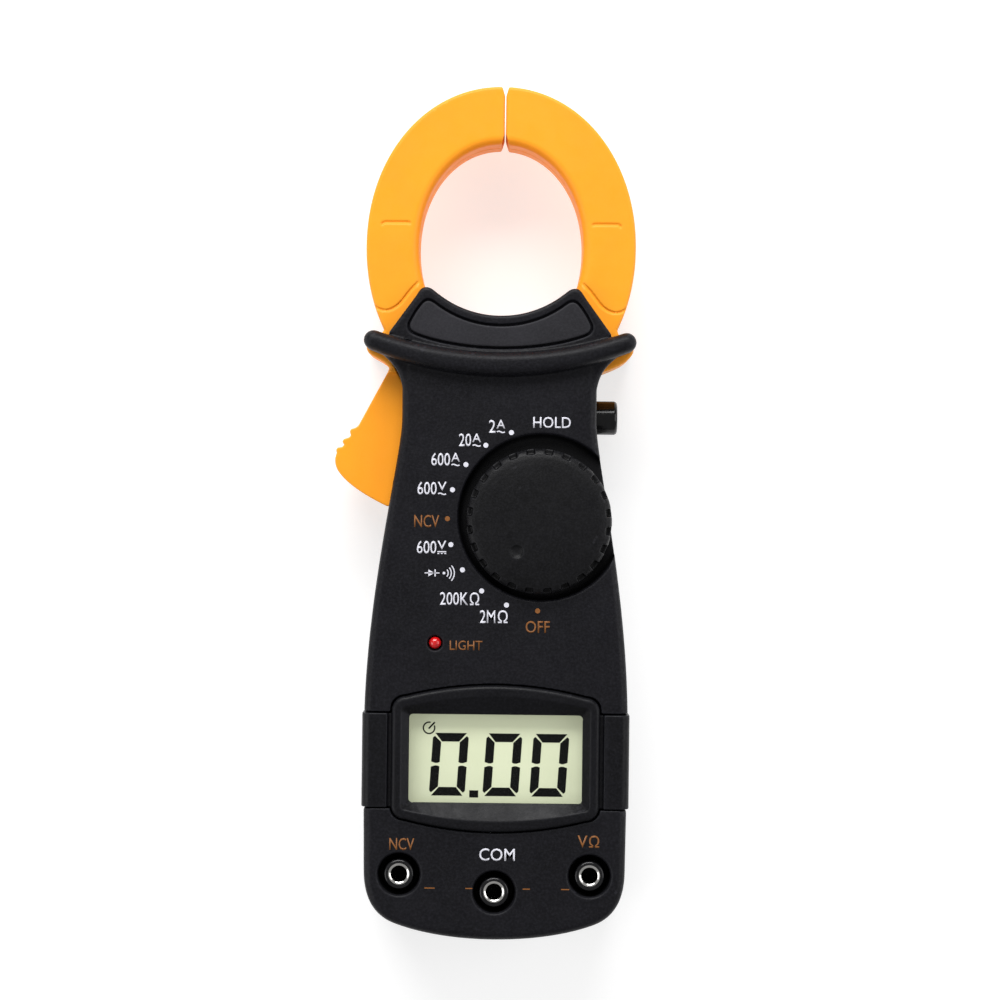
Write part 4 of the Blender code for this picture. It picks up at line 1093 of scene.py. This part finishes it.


# The second colour of each plastic is both its speckle colour and its painted edge highlight.
MAT = {
    "case": plastic("case_black", (0.0040, 0.0039, 0.0054), (0.026, 0.026, 0.033),
            0.46, 0.42, 0.040, gloss=0.16),
    "surround": plastic("surround_black", (0.0030, 0.0030, 0.0040), (0.022, 0.022, 0.028),
            0.42, 0.36, 0.026, gloss=0.16),
    "knob": plastic("knob_black", (0.0034, 0.0034, 0.0040), (0.022, 0.022, 0.026),
            0.44, 0.36, 0.028, gloss=0.16),
    # Painted shade: a darker black for the knob recess, the socket wells and the socket floors.
    "well": plastic("painted_shade_black", (0.0028, 0.0028, 0.0034), (0.010, 0.010, 0.012),
            0.55, 0.30, 0.016, gloss=0.12),
    "inlay": plastic("inlay_grey", (0.016, 0.0155, 0.019), (0.040, 0.040, 0.046),
            0.55, 0.40, 0.030, gloss=0.2),
    "gloss": plastic("button_black", (0.0030, 0.0030, 0.0034), (0.012, 0.012, 0.014),
            0.16, 0.6, 0.002, gloss=0.35),
    "jaw": plastic("jaw_orange", (0.95, 0.335, 0.012), (0.98, 0.41, 0.035),
            0.46, 0.34, 0.014, 0.03, speck=0.1),
    "steel": metal("plated_steel", (0.62, 0.62, 0.64), 0.26),
    "brass": metal("plated_brass", (0.80, 0.70, 0.50), 0.2, (1, 1, 8)),
    "nickel": metal("bright_nickel", (0.78, 0.77, 0.74), 0.14, (1, 1, 8)),
    "copper": metal("enamelled_copper", (0.72, 0.26, 0.10), 0.3, (1, 10, 1)),
    "core": metal("core_iron", (0.25, 0.25, 0.27), 0.42, (1, 1, 14)),
    "board": board_green(),
    "chip": plastic("epoxy_black", (0.012, 0.012, 0.012), (0.03, 0.03, 0.03), 0.4, 0.2, 0.004),
    "rubber": plastic("rubber_black", (0.02, 0.02, 0.02), (0.04, 0.04, 0.04), 0.7, 0.3, 0.006),
    "nylon": plastic("nylon_white", (0.72, 0.72, 0.68), (0.85, 0.85, 0.82), 0.42, 0.3, 0.004, 0.05),
    "wire_red": plastic("wire_red", (0.55, 0.012, 0.012), (0.7, 0.05, 0.05), 0.4, 0.3, 0.003, 0.1),
    "lcd": lcd_green(),
    "ink": lcd_ink(),
    "clear": clear_sheet(),
    "white": print_ink("print_white", (0.70, 0.70, 0.77)),
    "brown": print_ink("print_brown", (0.230, 0.080, 0.011)),
    "lamp": lamp_red(),
}
SLOT_LOOK = {"case_plastic": "case", "gloss_black": "gloss", "jaw_orange": "jaw", "core_iron": "core",
             "dark_component": "chip", "led_red": "lamp", "white_plastic": "nylon"}      # others: same name


def dress_frame():
    """Every CAD node that stays gets the procedural finish of its slot."""
    for part in frame["record"]["subparts"]:
        node = frame["nodes"][part["node"]]
        node.data.materials.clear()
        slot = part["material_slot"]
        node.data.materials.append(MAT[SLOT_LOOK.get(slot, slot)])


# ---------------------------------------------------------------- studio

def camera():
    """Straight above the meter, with the small roll that the object has in the picture."""
    data = bpy.data.cameras.new("camera")
    data.sensor_width = 36.0
    data.lens = 110.5
    data.clip_start = 0.01
    thing = new_object("camera", data)
    thing.location = (0.0004, 0.0367, 0.781)
    thing.rotation_euler = (0.0, 0.0, math.radians(0.65))
    bpy.context.scene.camera = thing


def area_light(name, place, target, size, power, colour=(1, 1, 1)):
    data = bpy.data.lights.new(name, "AREA")
    data.shape = "RECTANGLE"
    data.size, data.size_y = size
    data.energy = power
    data.color = colour
    thing = new_object(name, data)
    thing.location = place
    thing.rotation_euler = (Vector(target) - Vector(place)).to_track_quat("-Z", "Y").to_euler()


def studio():
    maker = bmesh.new()
    bmesh.ops.create_grid(maker, x_segments=1, y_segments=1, size=3.0)
    floor = from_bmesh("floor", maker)
    floor.location.z = -0.0002
    look = Graph("floor_pale", (0.5, 0.5, 0.5), 0.9)
    look.colour(look.mix(look.noise(40.0, 2.0), (0.49, 0.49, 0.49), (0.51, 0.51, 0.51)))
    look.put("Emission Color", (1.0, 1.0, 1.0, 1.0))
    look.put("Emission Strength", 0.62)
    floor.data.materials.append(look.material)
    world = bpy.data.worlds.new("world")
    world.use_nodes = True
    sky = world.node_tree.nodes["Background"].inputs
    sky["Color"].default_value = (1.0, 1.0, 1.0, 1.0)
    sky["Strength"].default_value = 0.35
    bpy.context.scene.world = world
    area_light("key", (-0.12, 0.85, 0.70), (0, 0.04, 0), (0.9, 0.5), 13.0)
    area_light("fill", (-0.85, -0.2, 0.6), (0, 0.03, 0), (0.7, 0.7), 3.2)
    area_light("rim", (0.85, 0.1, 0.6), (0, 0.03, 0), (0.7, 0.7), 3.2)
    bpy.context.scene.view_settings.view_transform = "Standard"


# ---------------------------------------------------------------- assembly

def paint(piece, material, inside):
    """Give the faces whose centre (mm) passes the test a second material."""
    piece.data.materials.append(material)
    for face in piece.data.polygons:
        if inside(face.center / MM):
            face.material_index = len(piece.data.materials) - 1


def in_painted_shade_well(point):
    """In the knob's recess or in a socket's well, below the front face: the faces that get painted shade."""
    if point.z > FRONT_Z - 0.7 or point.z < 20:
        return False
    if math.hypot(point.x - RECESS[0], point.y - RECESS[1]) < RECESS_RADIUS + 0.3:
        return True
    return any(math.hypot(point.x - x, point.y - y) < WELL_RADIUS + 0.3 for x, y in JACKS.values())


def build():
    dress_frame()
    front = place(front_shell(), "case", "case_plastic", ["front_case"])
    # Painted shade: the knob recess and the socket wells get the darker black.
    paint(front, MAT["well"], in_painted_shade_well)
    place(cradle_inlay(), "inlay", "case_plastic")
    place(rear_shell(), "case", "case_plastic", ["rear_case"])
    place(display_surround(), "surround", "case_plastic", ["display_frame"])
    place(cover_piece(), "case", "case_plastic", ["battery_cover"])
    front, rear = moving_jaw()
    place(front, "jaw", "jaw_orange", ["moving_jaw_front_shell"], "moving_jaw")
    place(rear, "jaw", "jaw_orange", ["moving_jaw_rear_shell"], "moving_jaw")
    front, rear = fixed_jaw()
    place(front, "jaw", "jaw_orange", ["fixed_jaw_front_shell"])
    place(rear, "jaw", "jaw_orange", ["fixed_jaw_rear_shell"])
    place(knob_cap(), "knob", "case_plastic", ["rotary_knob"], "dial")
    place(hold_cap(), "gloss", "gloss_black", ["hold_button"], "hold_cap")
    for sleeve in socket_sleeves():
        place(sleeve, "gloss", "gloss_black")
    for name in JACKS:
        socket = place(socket_metal(name), "nickel", "brass", [name])
        # Painted shade: the floor of each socket's bore gets the darker black.
        floor_z = node_box(name)[0][2] + 1.5
        paint(socket, MAT["well"], lambda point: point.z < floor_z)
    place(lamp(), "lamp", "led_red", ["led"])
    place(thin_sheet("lcd_face", LCD_LOW, LCD_HIGH, 0.5), "lcd", "lcd", ["lcd_panel"])
    place(lcd_digits(), "ink", "lcd")
    place(thin_sheet("window_sheet", WINDOW_LOW, WINDOW_HIGH, 0.8), "clear", "clear", ["display_window"])
    for name in CASE_SCREWS + ["battery_cover_screw"]:
        place(screw(name), "steel", "steel", [name])
    place(white_marks(), "white", "case_plastic")
    place(brown_marks(), "brown", "case_plastic")


camera()
studio()
build()
